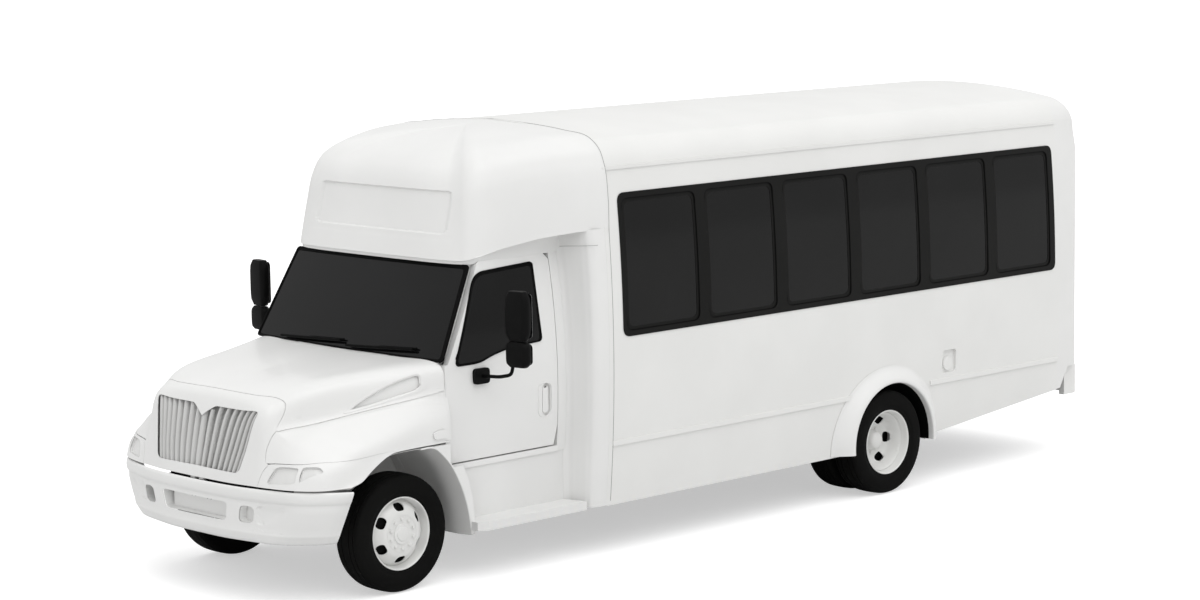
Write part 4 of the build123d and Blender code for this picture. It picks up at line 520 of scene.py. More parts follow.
def sheet_between(
    outline: Array, holes: Sequence[Array], lay: Callable[[Array, Array], Array], cuts: Sequence[float] = (),
    cross_cuts: Sequence[float] = (),
) -> Shape:
    """A sheet trimmed by outlines in a flat (u, v) plane and laid on a surface.

    The flat sheet is filled between its outline and its holes, cut along lines of constant v and u
    so that it can bend, and each point (u, v) is moved to lay(u, v).

    Args:
        outline: the sheet's closed outline, in order.
        holes: closed outlines of its openings.
        lay: gives the points in space of arrays of u and v.
        cuts: values of v at which the sheet is cut.
        cross_cuts: values of u at which the sheet is cut.

    Returns:
        The shape, one layer thick.
    """
    work = bmesh.new()
    for loop in (outline, *holes):
        ring = [work.verts.new((float(u), float(v), 0.0)) for u, v in loop]
        for i, vert in enumerate(ring):
            work.edges.new((vert, ring[(i + 1) % len(ring)]))
    bmesh.ops.triangle_fill(work, use_beauty=True, use_dissolve=False, edges=work.edges[:])
    for normal, values in (((0, 1, 0), cuts), ((1, 0, 0), cross_cuts)):
        for value in values:
            bmesh.ops.bisect_plane(
                work, geom=work.verts[:] + work.edges[:] + work.faces[:], plane_co=Vector(normal) * value,
                plane_no=normal, dist=1e-6)
    for face in work.faces:
        if face.normal.z < 0:
            face.normal_flip()
    work.verts.index_update()
    flat = np.array([v.co[:2] for v in work.verts])
    faces = [[v.index for v in f.verts] for f in work.faces]
    work.free()
    return Shape().add(lay(flat[:, 0], flat[:, 1]), faces)


def spans(*parts: tuple[float, float, int]) -> Array:
    """The sorted distinct values of several evenly spaced runs, each of (first, last, count)."""
    return np.unique(np.concatenate([np.linspace(*part) for part in parts]))


def surface_on(net: Array, along: int, across: int) -> Array:
    """A smooth surface through a net of points.

    Every row and then every column is a cubic through the net's points, with each point's slope
    half the step between its two neighbours.

    Args:
        net: array of rows x columns x 3.
        along: points wanted along each row.
        across: points wanted along each column.

    Returns:
        An array of across x along x 3.
    """
    def finer(points: Array, count: int) -> Array:
        """Runs a cubic through the rows of points and returns count rows of it."""
        slopes = np.gradient(points, axis=0)
        t = np.linspace(0, len(points) - 1, count)
        i = np.clip(t.astype(int), 0, len(points) - 2)
        return hermite(points, slopes, i, (t - i)[:, None, None])

    return finer(finer(net, across).transpose(1, 0, 2), along).transpose(1, 0, 2)


# ---------------------------------------------------------------- studio
@dataclass
class Studio:
    """A white studio: pale floor, even sky and one wide soft lamp, with the camera."""

    eye: tuple[float, float, float] = (16.7637, -16.5227, 4.7952)
    azimuth: float = 45.934
    elevation: float = 7.626
    roll: float = -0.894
    lens: float = 89.68
    sky: float = 0.70
    overhead: float = 0.32
    sun: float = 0.85
    sun_spread: float = 60.0
    sun_from: tuple[float, float, float] = (0.75, -0.22, 1.3)
    floor_half: float = 120.0
    floor_lift: float = 0.50
    floor_greys: tuple[float, float] = (0.74, 0.78)

    def camera(self) -> None:
        """Places the camera: three square directions from its azimuth, elevation and roll."""
        az, el, roll = (math.radians(a) for a in (self.azimuth, self.elevation, self.roll))
        back = Vector((math.sin(az) * math.cos(el), -math.cos(az) * math.cos(el), math.sin(el)))
        right = (-back).cross(Vector((0, 0, 1))).normalized()
        up = right.cross(-back)
        turned_right = math.cos(roll) * right + math.sin(roll) * up
        turned_up = -math.sin(roll) * right + math.cos(roll) * up
        data = bpy.data.cameras.new("camera")
        data.lens, data.sensor_width = self.lens, 36.0
        data.clip_end = 400.0
        eye = bpy.data.objects.new("camera", data)
        turn = Matrix((turned_right, turned_up, back)).transposed().to_4x4()
        eye.matrix_world = Matrix.Translation(self.eye) @ turn
        bpy.context.scene.collection.objects.link(eye)
        bpy.context.scene.camera = eye

    def light(self) -> None:
        """Adds an even white world, seen as pure white, and a wide soft sun."""
        scene = bpy.context.scene
        world = bpy.data.worlds.new("studio")
        world.use_nodes = True
        tree = world.node_tree
        even = set_inputs(tree.nodes["Background"], Color=(1, 1, 1, 1))
        seen = add_node(tree, "Background", Color=(1, 1, 1, 1))
        mix, ray = add_node(tree, "MixShader"), add_node(tree, "LightPath")
        place, split = add_node(tree, "TexCoord"), add_node(tree, "SeparateXYZ")
        rise = add_node(tree, "MapRange", To_Min=self.sky, To_Max=self.sky + self.overhead)
        wire(
            tree, (place.outputs["Generated"], split.inputs[0]), (split.outputs["Z"], rise.inputs["Value"]),
            (rise.outputs["Result"], even.inputs["Strength"]), (ray.outputs["Is Camera Ray"], mix.inputs[0]),
            (even.outputs[0], mix.inputs[1]), (seen.outputs[0], mix.inputs[2]),
            (mix.outputs[0], tree.nodes["World Output"].inputs["Surface"]),
        )
        scene.world = world
        lamp = bpy.data.lights.new("sun", "SUN")
        lamp.energy, lamp.angle = self.sun, math.radians(self.sun_spread)
        sun = bpy.data.objects.new("sun", lamp)
        sun.matrix_world = Vector(self.sun_from).to_track_quat("Z", "Y").to_matrix().to_4x4()
        scene.collection.objects.link(sun)
        scene.view_settings.view_transform = "Standard"
        scene.render.film_transparent = False

    def floor(self) -> None:
        """Adds a pale floor that keeps the shadow and fades into the white behind it."""
        half = self.floor_half
        corners = [(-half, -half, 0), (half, -half, 0), (half, half, 0), (-half, half, 0)]
        mesh = bpy.data.meshes.new("studio_floor")
        mesh.from_pydata(corners, [], [(0, 1, 2, 3)])
        ground = bpy.data.objects.new("studio_floor", mesh)
        bpy.context.scene.collection.objects.link(ground)
        mat = bpy.data.materials.new("studio_floor")
        mat.use_nodes = True
        tree = mat.node_tree
        shader = set_inputs(
            tree.nodes["Principled BSDF"], Roughness=0.9, Specular_IOR_Level=0.0, Emission_Color=(1, 1, 1, 1))
        place, drift = add_node(tree, "TexCoord"), add_node(tree, "TexNoise", Scale=0.3)
        ramp = add_ramp(tree, *((i, grey(level)) for i, level in enumerate(self.floor_greys)))
        ray, lift = add_node(tree, "LightPath"), add_node(tree, "Math")
        lift.operation = "MULTIPLY"
        lift.inputs[1].default_value = self.floor_lift
        wire(
            tree, (place.outputs["Object"], drift.inputs["Vector"]),
            (drift.outputs["Fac"], ramp.inputs["Fac"]), (ramp.outputs["Color"], shader.inputs["Base Color"]),
            (ray.outputs["Is Camera Ray"], lift.inputs[0]),
            (lift.outputs[0], shader.inputs["Emission Strength"]),
        )
        mesh.materials.append(mat)

    def build(self) -> None:
        """Sets up the whole studio."""
        self.camera()
        self.light()
        self.floor()


def dress_nodes() -> None:
    """Gives every node of the frame its finish."""
    for finish, names in FINISH_NODES.items():
        for name in names.split():
            materials = bpy.data.objects[name].data.materials
            materials.clear()
            materials.append(finish.material())


# ---------------------------------------------------------------- bonnet
@dataclass
class Bonnet:
    """The tilting bonnet: hood, nose and wings trimmed from one smooth surface, with its grille and lamps.

    net is the left half of the surface as x, station and height. Rows run from the middle of the
    hood out over its shoulder and the wing to the wheel opening, and columns run from the cowl
    forward over the nose to the lower edge. A place on the surface is (u, v) in steps of the net.
    """

    panel_t: float = 0.006
    gap: float = 0.012  # half of a seam between two panels, in steps of the net
    fine: int = 30  # steps of the fine surface in one step of the net
    bars: int = 8  # on each side of the middle one
    net: tuple = (
        ((0, .398, 1.585), (0, 0, 1.556), (0, -.5, 1.5), (0, -.8, 1.448),
         (0, -.895, 1.33), (0, -.965, 1.05), (0, -1.0, .845)),
        ((.6, .398, 1.586), (.55, 0, 1.56), (.5, -.5, 1.51), (.42, -.79, 1.432),
         (.37, -.88, 1.32), (.36, -.955, 1.05), (.36, -.993, .845)),
        ((1.01, .398, 1.57), (.88, 0, 1.533), (.765, -.5, 1.476), (.655, -.75, 1.395),
         (.612, -.866, 1.31), (.6, -.92, 1.05), (.6, -.963, .845)),
        ((1.066, .398, 1.4), (.945, 0, 1.345), (.815, -.5, 1.275), (.725, -.76, 1.225),
         (.715, -.825, 1.17), (.72, -.895, 1.0), (.735, -.945, .845)),
        ((1.074, .398, 1.335), (1.0, 0, 1.3), (.93, -.45, 1.235), (.915, -.68, 1.15),
         (.92, -.79, 1.055), (.93, -.855, .955), (.95, -.885, .845)),
        ((1.105, .398, 1.2), (1.12, 0, 1.17), (1.125, -.385, 1.1), (1.12, -.555, 1.03),
         (1.12, -.66, .985), (1.118, -.72, .92), (1.112, -.76, .845)),
        ((1.11, .398, 1.028), (1.13, 0, 1.03), (1.145, -.16, 1.022), (1.152, -.26, .985),
         (1.158, -.355, .932), (1.168, -.455, .868), (1.18, -.56, .845)),
    )

    def __post_init__(self) -> None:
        """Works out the fine surface, its outward directions and the lines where the panels meet."""
        points = np.array(self.net, float)
        count = 6 * self.fine + 1
        self.surface = surface_on(points, count, count)
        ahead = np.gradient(self.surface, axis=1)
        around = np.gradient(self.surface, axis=0)
        out = np.cross(around, ahead)
        out /= np.maximum(np.linalg.norm(out, axis=2), 1e-9)[..., None]
        self.outward = out if np.median(out[..., 2]) > 0 else -out
        self.brow = smooth_path(
            [(0.0, 3.06), (0.9, 3.0), (1.75, 2.88), (2.2, 2.84), (2.55, 3.0), (2.8, 3.35), (2.88, 3.62)], 40)
        self.cheek = smooth_path([(2.88, 3.62), (2.78, 4.2), (2.68, 4.75), (2.78, 4.98), (2.98, 5.02)], 24)
        self.bezel = smooth_path([(2.98, 5.02), (2.62, 5.5), (2.42, 6.0)], 12)
        self.seam = smooth_path(
            [(2.9, 3.60), (3.0, 3.0), (3.2, 1.98), (3.22, 1.4), (3.24, 0.72), (3.12, 0.0)], 40)
        self.crease = smooth_path(
            [(2.98, 4.98), (3.6, 4.68), (4.25, 4.2), (4.75, 3.55), (5.05, 3.02), (5.55, 2.3), (5.86, 1.7),
             (5.9, 0.8), (5.93, 0.0)], 60)
        self.scoop = rounded_outline(
            [(2.96, 1.60, 0.12), (2.70, 1.44, 0.25), (2.37, 1.00, 0.3), (2.22, 0.42, 0.14), (2.80, 0.42, 0.2),
             (2.98, 1.38, 0.12)], 6)

    def lay(self, u: Array, v: Array, lift: float | Array = 0.0) -> Array:
        """Points on the surface, or lifted off it.

        A point is the bilinear blend of the four fine points round it, plus the lift times the
        outward direction there. A negative u is the mirror image on the right side.

        Args:
            u: places across, from 0 at the middle to 6 at the wheel opening.
            v: places forward, from 0 at the cowl to 6 at the lower edge.
            lift: height over the surface.

        Returns:
            One row for each place.
        """
        side = np.where(u < 0, -1.0, 1.0)
        a, b = np.clip(np.abs(u), 0, 6) * self.fine, np.clip(v, 0, 6) * self.fine
        i = np.minimum(a.astype(int), 6 * self.fine - 1)
        j = np.minimum(b.astype(int), 6 * self.fine - 1)
        s, t = (a - i)[:, None], (b - j)[:, None]

        def blended(table: Array) -> Array:
            """Blends the four values of a table round each place."""
            return (
                (1 - s) * (1 - t) * table[i, j] + s * (1 - t) * table[i + 1, j]
                + (1 - s) * t * table[i, j + 1] + s * t * table[i + 1, j + 1]
            )

        place = blended(self.surface) + blended(self.outward) * np.reshape(lift, (-1, 1))
        return np.column_stack([place[:, 0] * side, at(0) + place[:, 1], place[:, 2]])

    def panel(
        self, name: str, outline: Array, holes: Sequence[Array] = (), lift: float = 0.0,
        thick: float | None = None, mirror: bool = True, slot: str = "cab_white",
        finish: Finish = CAB_WHITE, bevel: float = 0.0016, replaces: Sequence[str] = (),
    ) -> bpy.types.Object:
        """Builds one trimmed panel, and its mirror image if asked.

        Args:
            name: the piece's name.
            outline: its closed outline in (u, v).
            holes: outlines of its openings.
            lift: height over the surface.
            thick: its thickness, or the usual one.
            mirror: whether the right side is added.
            slot: the record's slot.
            finish: its material.
            bevel: radius of its edges.
            replaces: the frame's nodes that it stands for.

        Returns:
            The object.
        """
        across, down = (
            np.arange(math.floor(low * 8) / 8 + 0.125, high, 0.125)
            for low, high in zip(outline.min(0), outline.max(0)))
        shape = sheet_between(outline, holes, lambda u, v: self.lay(u, v, lift), down, across)
        if mirror:
            shape.mirrored()
        return shape.build(name, finish, "bonnet", slot, replaces, thick=thick or self.panel_t, bevel=bevel)

    def sleeve(self, ring: Array, lifts: Sequence[float]) -> Shape:
        """The wall of an opening on both sides of the bonnet: its outline at each lift off the surface."""
        return Shape().grid(np.stack([self.lay(*ring.T, lift) for lift in lifts]), wrap=True).mirrored()

    def build(self) -> None:
        """Builds every piece of the bonnet."""
        self.nose()
        self.hood()
        self.wings()
        self.lamps()
        self.lining()
        self.grille()

    def nose(self) -> None:
        """Builds the nose panel round the grille's opening."""
        half = np.concatenate([self.brow, self.cheek[1:], self.bezel[1:]])
        foot = [(-1.6, 6.0), (-0.8, 6.0), (0.0, 6.0), (0.8, 6.0), (1.6, 6.0)]
        opening = rounded_outline(
            [(0.0, 4.27, 0.0), (0.33, 3.93, 0.05), (1.84, 3.86, 0.2), (1.40, 5.64, 0.2), (0.0, 5.60, 0.0)], 7)
        left = opening[opening[:, 0] > 1e-6]
        opening = np.concatenate([[(0.0, 4.27)], left, [(0.0, 5.60)], (left * (-1, 1))[::-1]])
        outline = np.concatenate([half[::-1], half[1:] * (-1, 1), foot])
        self.panel("nose_panel", outline, [opening], mirror=False)

    def hood(self) -> None:
        """Builds the hood with its two air intakes."""
        scoop, gap = self.scoop, 2 * self.gap
        front = np.concatenate([self.brow[::-1], self.brow[1:] * (-1, 1)]) - (0, gap)
        hood = np.concatenate([
            front[1:-1], self.seam * (-1, 1) + (gap, 0), [(-1.5, 0.0), (0.0, 0.0), (1.5, 0.0)],
            (self.seam - (gap, 0))[::-1]])
        self.panel("hood_intake_rim", grown(scoop, (1.26, 1.20)), [scoop], lift=0.0035, bevel=0.0025)
        self.panel("hood", hood, [scoop, scoop[::-1] * (-1, 1)], mirror=False, replaces=("bonnet",))
        self.panel("hood_intake_floor", grown(scoop, 1.06), lift=-0.026)
        self.sleeve(scoop, (-.003, -.014, -.026)).build(
            "hood_intake_wall", CAB_WHITE, "bonnet", "cab_white", thick=-0.003)
        Shape().bead(self.lay(*scoop.T, -0.004), 0.011, 10).mirrored().build(
            "hood_intake_lip", CAB_WHITE, "bonnet", "cab_white")

    def wings(self) -> None:
        """Builds the wings, down to the crease over the lamps and the wheel opening, and their latches."""
        gap = self.gap
        wing = np.concatenate([
            (self.seam + (gap, 0))[::-1], [(4.4, 0.0), (5.60, 0.0), (5.9, 0.0)], self.crease[1:-1][::-1],
            (self.cheek + (2 * gap, 0))[1:-2][::-1]])
        self.panel("wings", wing)
        latch = rounded_outline([(5.80, .03, .10), (5.40, .10, .16), (5.46, .42, .16), (5.80, .36, .10)], 6)
        self.panel("wing_latch", latch, lift=0.010, thick=0.012, bevel=0.004)

    def lamps(self) -> None:
        """Builds the lower fascia with the lamps' openings, and the lamps set back in them."""
        main = rounded_outline(
            [(3.36, 4.97, 0.2), (4.14, 4.56, 0.16), (4.10, 5.60, 0.2), (2.98, 5.86, 0.25)], 8)
        turn = rounded_outline(
            [(4.24, 4.44, 0.14), (4.66, 4.10, 0.16), (4.86, 4.46, 0.2), (4.22, 5.52, 0.16)], 8)
        fascia = np.concatenate([
            (self.crease + (0, 2.5 * self.gap))[:-1], [(5.95, 0.0)], [(6.0, float(v)) for v in range(7)],
            [(5.0, 6.0), (4.0, 6.0), (3.0, 6.0)], (self.bezel + (2 * self.gap, 0))[::-1][:-1]])
        self.panel("wing_fascia", fascia, [main, turn])
        well = [(2.75, 5.9), (3.1, 4.85), (4.2, 4.35), (4.95, 3.9), (4.98, 4.6), (4.5, 5.6), (3.6, 5.95)]
        self.panel("lamp_well", np.array(well), lift=-0.045, finish=MOULDED_WHITE)
        for name, ring, node in (("lamp_main", main, ("headlamps",)), ("lamp_turn", turn, ())):
            self.sleeve(ring, (-0.002, -0.046)).build(
                f"{name}_wall", CAB_WHITE, "bonnet", "cab_white", thick=0.003)
            self.panel(f"{name}_lens", grown(ring, 0.97), lift=-0.020, thick=0.004, finish=LENS_CLEAR,
                       slot="lamp", replaces=node, bevel=0.0)

    def lining(self) -> None:
        """Builds the white lining under the seams, cut out under the intakes and the grille."""
        backing = np.array([
            (0, 0), (2, 0), (4, 0), (5.97, 0), (5.97, 2), (5.97, 4), (5.97, 5.98), (4.9, 5.98), (4.9, 3.7),
            (4.2, 4.1), (3, 4.75), (2.35, 5.98), (1.75, 5.98), (2, 3.7), (1, 3.7), (0, 3.7)])
        self.panel("bonnet_lining", backing, [grown(self.scoop, 1.05)], lift=-0.0095, thick=0.008, bevel=0.0)

    def grille(self) -> None:
        """Builds the upright bars, whose grey is painted shade on white bars set back in the opening, and the
        dark space behind them.

        A bar's middle line runs down the surface between the opening's top and its bottom, set
        back; its section is a half ellipse swept along that line.
        """
        shape = Shape()
        top_u, bottom_u = 1.84, 1.40  # half widths of the opening
        top_v, bottom_v = 3.84, 5.62
        set_back, depth, lean = 0.030, 0.026, 0.12
        half = np.linspace(0, math.pi, 11)
        for i in range(-self.bars, self.bars + 1):
            v = np.linspace(3.7 if abs(i) > 1 else 4.05, 5.72, 24)
            mix = (v - top_v) / (bottom_v - top_v)
            u = i / (self.bars + 0.62) * ((1 - mix) * top_u + mix * bottom_u)
            line = self.lay(u + 1e-6 * (1 if i >= 0 else -1), v, -set_back)
            if i == 0:
                line[:, 0] = 0
            width = 0.018 if i else 0.024
            across = np.array([1.0, -lean * np.sign(i), 0.0])
            out = np.array([lean * np.sign(i), -1.0, 0.25])
            ring = width * np.cos(half)[:, None] * across + depth * np.sin(half)[:, None] * out
            shape.grid(line[:, None] + ring[None], wrap=True, caps=True)
        # the bars' grey is painted shade; the bars themselves are white
        shape.build("grille_bars", GRILLE_SHADE_GREY, "bonnet", "grille_grey", ("grille",), sharp=60)
        u = np.linspace(-2.1, 2.1, 21)
        rows = [self.lay(np.where(u == 0, 1e-6, u), 0 * u + v, -0.062) for v in np.linspace(3.5, 5.98, 12)]
        Shape().grid(np.stack(rows)).build("grille_back", LINER_GREY, "bonnet", "grille_grey", thick=0.004)


# ---------------------------------------------------------------- front bumper
@dataclass
class FrontBumper:
    """The wrapped front bumper: a profile of shares and heights swept across from end to end.

    bow holds x and station of the face at its full width, then of its lower edge; the profile
    blends the two by a share and pushes the face out or in by a depth.
    """

    bow: tuple = (
        (0, -1.030, 0, -.996), (.30, -1.022, .30, -.99), (.52, -1.002, .478, -.966), (.67, -.972, .63, -.94),
        (.83, -.928, .745, -.912), (.972, -.88, .85, -.858), (1.09, -.785, .945, -.775),
        (1.19, -.68, 1.02, -.69), (1.252, -.592, 1.052, -.592),
    )
    profile: tuple = (
        (1.0, .017, .822), (1.0, .009, .826), (1.0, .003, .822), (1.0, -.001, .812), (1.0, -.003, .79),
        (1.0, -.001, .768), (1.0, .004, .755), (1.0, .011, .748), (1.0, .014, .738), (1.0, .013, .70),
        (.88, .012, .65), (.72, .009, .60), (.56, .006, .56), (.44, .001, .53), (.36, -.004, .515),
        (.20, -.004, .495), (.06, -.001, .47), (.0, .004, .458), (-.03, .012, .452), (-.06, .045, .455),
    )
    hollow_reach: tuple[float, float] = (0.485, 0.68)
    hollow_top: float = 0.718
    hollow_depth: float = 0.010

    def point(self, u: Array, w: Array) -> Array:
        """Points of the face.

        Args:
            u: places across, -1 to 1 from the right end to the left end.
            w: places down the profile, 0 at its upper edge and 1 at its lower edge.

        Returns:
            One row for each place: full width times the share plus lower edge times the rest, pushed
            inwards by the profile's depth.
        """
        bow, profile = np.array(self.bow, float), np.array(self.profile, float)
        fine = smooth_path(bow, 161)
        step = np.linspace(0, 1, 161)
        reach = np.abs(u)
        plan = np.stack([np.interp(reach, step, c) for c in fine.T], 1)
        share, depth, z = (np.interp(w, np.linspace(0, 1, len(profile)), c) for c in profile.T)
        # the shallow hollow towards each end, over a curved lower edge
        (first, last), roof_z = self.hollow_reach, self.hollow_top
        floor_z = 0.580 + 0.115 * np.clip((reach - 0.50) / 0.155, 0, 1) ** 2
        inside = (
            np.clip((reach - first) / 0.008, 0, 1) * np.clip((last - reach) / 0.010, 0, 1)
            * np.clip((roof_z - z) / 0.012, 0, 1) * np.clip((z - floor_z) / 0.014, 0, 1)
        )
        depth = depth + self.hollow_depth * inside
        x = share * plan[:, 0] + (1 - share) * plan[:, 2]
        y = share * plan[:, 1] + (1 - share) * plan[:, 3]
        # the last fifth of each side is drawn to a straight end edge
        end = self.bow[-1]
        far_x = end[0] + (end[2] - end[0]) * np.clip((.82 - z) / (.82 - .452), 0, 1)
        past = np.clip((reach - .80) / .20, 0, 1) ** 2
        x = x + past * (far_x - (share * end[0] + (1 - share) * end[2]))
        turn = np.interp(reach, step, np.gradient(fine[:, 1], fine[:, 0]))
        length = np.sqrt(1 + turn**2)
        x = x - depth * turn / length
        y = y + depth / length
        return np.column_stack([x * np.sign(u + 1e-12), at(0) + y, z])

    def build(self) -> None:
        """Builds the face with its openings, their walls and the plates behind, and the nose's lugs above."""
        rows = np.linspace(0, 1, len(self.profile))
        heights = -np.array(self.profile)[:, 2]

        def opening(corners: Sequence[tuple[float, float]], radius: float, steps: int) -> Array:
            """A rounded opening from corners of place across and height."""
            places = [(u, float(np.interp(-z, heights, rows)), radius) for u, z in corners]
            return rounded_outline(places, steps)

        recess = opening([(-.285, .712), (.285, .712), (.265, .578), (-.265, .578)], .035, 7)
        slot = opening([(.372, .708), (.478, .704), (.466, .585), (.36, .585)], .045, 8)
        fine = np.linspace(-1, 1, 129)
        top = np.column_stack([fine, 0 * fine])
        edge = np.concatenate([top, top[::-1] + (0, 1)])
        cuts = np.unique(np.concatenate([rows[1:-1], (rows[1:] + rows[:-1])[:-1] / 2]))
        face = sheet_between(edge, [recess, slot, slot[::-1] * (-1, 1)], self.point, cuts, fine[1:-1])
        face.build("bumper_face", CAB_WHITE, "body", "cab_white", ("front_bumper",), thick=0.006, bevel=0.002)
        for name, ring, deep in (("recess", recess, 0.075), ("slot_left", slot, 0.055),
                                 ("slot_right", slot * (-1, 1), 0.055)):
            front = self.point(*ring.T) + (0, 0.003, 0)
            back = grown(front + (0, deep, 0), (0.97, 1, 0.92))
            Shape().grid(np.stack([front, (front + back) / 2, back]), wrap=True).build(
                f"bumper_{name}_wall", MOULDED_WHITE, "body", "cab_white", thick=0.003)
        for name, finish, slot_name, low, high in (
            ("plate", MOULDED_WHITE, "cab_white", (-.325, at(-.945), .585), (.40, at(-.935), .705)),
            ("slot_plate", MOULDED_WHITE, "cab_white", (.40, at(-.930), .575), (.70, at(-.920), .715)),
            ("inner_panel", CHASSIS_BLACK, "chassis", (-.42, at(-.90), .60), (.44, at(-.885), .86)),
        ):
            Shape().box(low, high).build(f"bumper_{name}", finish, "body", slot_name, bevel=0.002)
        lugs = Shape()
        for x in (-.062, .035):
            lugs.box((x, at(-.992), .826), (x + .055, at(-.94), .848))
        lugs.build("nose_lugs", CAB_WHITE, "bonnet", "cab_white", bevel=0.003)


# ---------------------------------------------------------------- wheels
@dataclass
class Wheel:
    """One wheel set, turned round its axle: a front wheel is domed, a rear pair has a dished outer disc.

    middles holds the x of each tyre's middle on the left side, and the last one carries the disc.
    """

    name: str
    node: str
    tyre_node: str
    body: str
    sign: int
    station: float
    middles: tuple[float, ...]
    dished: bool
    radius: float = 0.421
    half_width: float = 0.124
    holes: int = 6
    nuts: int = 10

    def tyre_profile(self) -> Array:
        """The tyre's section as (x, radius), from bead to bead over the tread and back inside."""
        half = [
            (0.0, .4208), (.035, .4206), (.0351, .414), (.041, .414), (.0411, .4203), (.078, .4185),
            (.0781, .412), (.084, .4115), (.0841, .4175), (.104, .411), (.112, .403), (.1165, .392),
            (.1185, .380), (.122, .366), (.1238, .350), (.1242, .330), (.1236, .312), (.1216, .300),
            (.1190, .2965), (.1180, .290), (.1165, .276), (.1120, .266), (.1060, .2600), (.0980, .2560),
        ]
        right = np.array(half)
        inner = np.array([(.095, .262), (.10, .30), (.10, .37), (.08, .395)])
        left = right[::-1] * (-1, 1)
        return np.concatenate([left[:-1], right, inner, inner[::-1] * (-1, 1)])

    def rim_profile(self) -> Array:
        """The rim's section: flanges, bead seats and the drop between them."""
        return np.array([
            (.098, .2565), (.104, .2605), (.109, .2610), (.112, .2580), (.112, .2545), (.107, .2500),
            (.098, .2480), (.075, .2455), (.05, .2405), (.02, .2290), (-.03, .2290), (-.07, .2420),
            (-.098, .2480), (-.107, .2500), (-.112, .2560), (-.108, .2610), (-.098, .2565), (-.08, .2500),
            (-.03, .2340), (.02, .2340), (.05, .2460), (.08, .2520),
        ])

    def disc(self, middle: float) -> Shape:
        """The disc with its oval hand holes, laid on a surface of revolution.

        The disc's depth is a smooth curve of the radius: domed outwards to the hub face on a front
        wheel, and stepped inwards to it on a rear one.
        """
        if self.dished:
            curve = np.array([
                (.232, .052), (.226, .046), (.220, .026), (.213, .002), (.206, -.020), (.199, -.042),
                (.190, -.058), (.178, -.067), (.165, -.072), (.138, -.074), (.10, -.074), (.07, -.074)])
            first_hole, hole_r, edge_r = 0.0, .172, .232
        else:
            curve = np.array([
                (.236, .036), (.228, .050), (.216, .065), (.20, .082), (.185, .096), (.168, .108),
                (.152, .1138), (.140, .1150), (.10, .1150), (.07, .1150)])
            first_hole, hole_r, edge_r = math.pi / 2, .190, .236

        def lay(u: Array, v: Array) -> Array:
            """Points of the disc at places u back and v up from the wheel's centre."""
            depth = np.interp(np.hypot(u, v), curve[::-1, 0], curve[::-1, 1])
            return np.column_stack([middle + depth, at(self.station) + u, self.radius + v])

        turn = np.linspace(0, TAU, 144, endpoint=False)
        ring = np.column_stack([np.cos(turn), np.sin(turn)])
        hub_r = .071
        oval = rounded_box(.086, .056, .0278, 7)
        holes = []
        for i in range(self.holes):
            a = first_hole + i * TAU / self.holes
            spin = np.array([(-math.sin(a), math.cos(a)), (math.cos(a), math.sin(a))])
            holes.append(np.array([hole_r * math.cos(a), hole_r * math.sin(a)]) + oval @ spin)
        grid = np.linspace(-.24, .24, 41)
        return sheet_between(edge_r * ring, [*holes, hub_r * ring[::-1]], lay, grid, grid)

    def build(self) -> None:
        """Builds the tyres, rims, disc, hub and nuts."""
        y = at(self.station)
        outer = self.middles[-1]

        def keep(
            shape: Shape, part: str, finish: Finish = RIM_WHITE, slot: str = "wheel_white", **options: object
        ) -> None:
            """Puts a part on its side of the bus and builds it."""
            shape.handed(self.sign).build(f"{self.name}_{part}", finish, self.body, slot, **options)

        for i, middle in enumerate(self.middles):
            centre = (middle, y, self.radius)
            nodes = ((self.tyre_node,), (self.node,)) if i == 0 else ((), ())
            keep(Shape().turned(self.tyre_profile(), centre, 96), f"tyre_{i + 1}", TYRE_BLACK, "tyre",
                 replaces=nodes[0], sharp=50)
            keep(Shape().turned(self.rim_profile(), centre, 96), f"rim_{i + 1}", replaces=nodes[1], sharp=45)
        keep(self.disc(outer), "disc", thick=0.008 * self.sign, bevel=0.0015)
        if self.dished:
            drum = [(-.110, .212), (-.092, .212), (-.088, .12), (-.110, .12)]
            hub = [(.0, .085), (.012, .086), (.018, .080), (.052, .072), (.070, .066), (.080, .052),
                   (.086, .030), (.088, .001), (-.01, .001), (-.01, .085)]
            face = outer - .074
        else:
            drum = [(.020, .228), (.036, .228), (.080, .16), (.080, .12), (.020, .12)]
            hub = [(.0, .0735), (.006, .0735), (.009, .070), (.009, .052), (.0145, .048), (.016, .040),
                   (.018, .001), (-.012, .001), (-.012, .0735)]
            face = outer + .115
        keep(Shape().turned(np.array(drum), (outer, y, self.radius), 64), "drum", SEAL_BLACK)
        keep(Shape().turned(np.array(hub), (face, y, self.radius), 64), "hub", sharp=40)
        keep(self.nuts_on(face), "nuts", sharp=40)
        turn = np.linspace(0, TAU, 64, endpoint=False)
        seat_r = .131
        ring = np.column_stack([
            np.full(64, face + .001), y + seat_r * np.cos(turn), self.radius + seat_r * np.sin(turn)])
        keep(Shape().bead(ring, 0.0015, 6), "seat_ring")

    def nuts_on(self, face: float) -> Shape:
        """The wheel nuts, each with its flange, standing in a circle on the disc's face."""
        circle_r = .105
        turn = np.linspace(0, TAU, 12, endpoint=False)
        nuts = Shape()
        for i in range(self.nuts):
            a = (i + 0.5) * TAU / self.nuts
            y, z = at(self.station) + circle_r * math.cos(a), self.radius + circle_r * math.sin(a)
            rings = [np.column_stack([np.full(12, face + x), y + r * np.cos(turn), z + r * np.sin(turn)])
                     for x, r in ((-.002, .016), (.004, .0158), (.0045, .0125), (.012, .0122), (.0135, .010))]
            nuts.grid(np.stack(rings), wrap=True, caps=True)
        return nuts


def all_wheels() -> list[Wheel]:
    """Lists the four wheel sets."""
    return [
        Wheel(f"{end}_{side}", f"wheel_{end}_{side}", f"tyre_{end}_{side}", f"{body}_{side}", sign, station,
              middles, dished)
        for side, sign in SIDES
        for end, body, station, middles, dished in (
            ("front", "wheel_front", 0.0, (.928,), False),
            ("rear", "wheels_rear", WHEELBASE, (.892, 1.186), True))
    ]


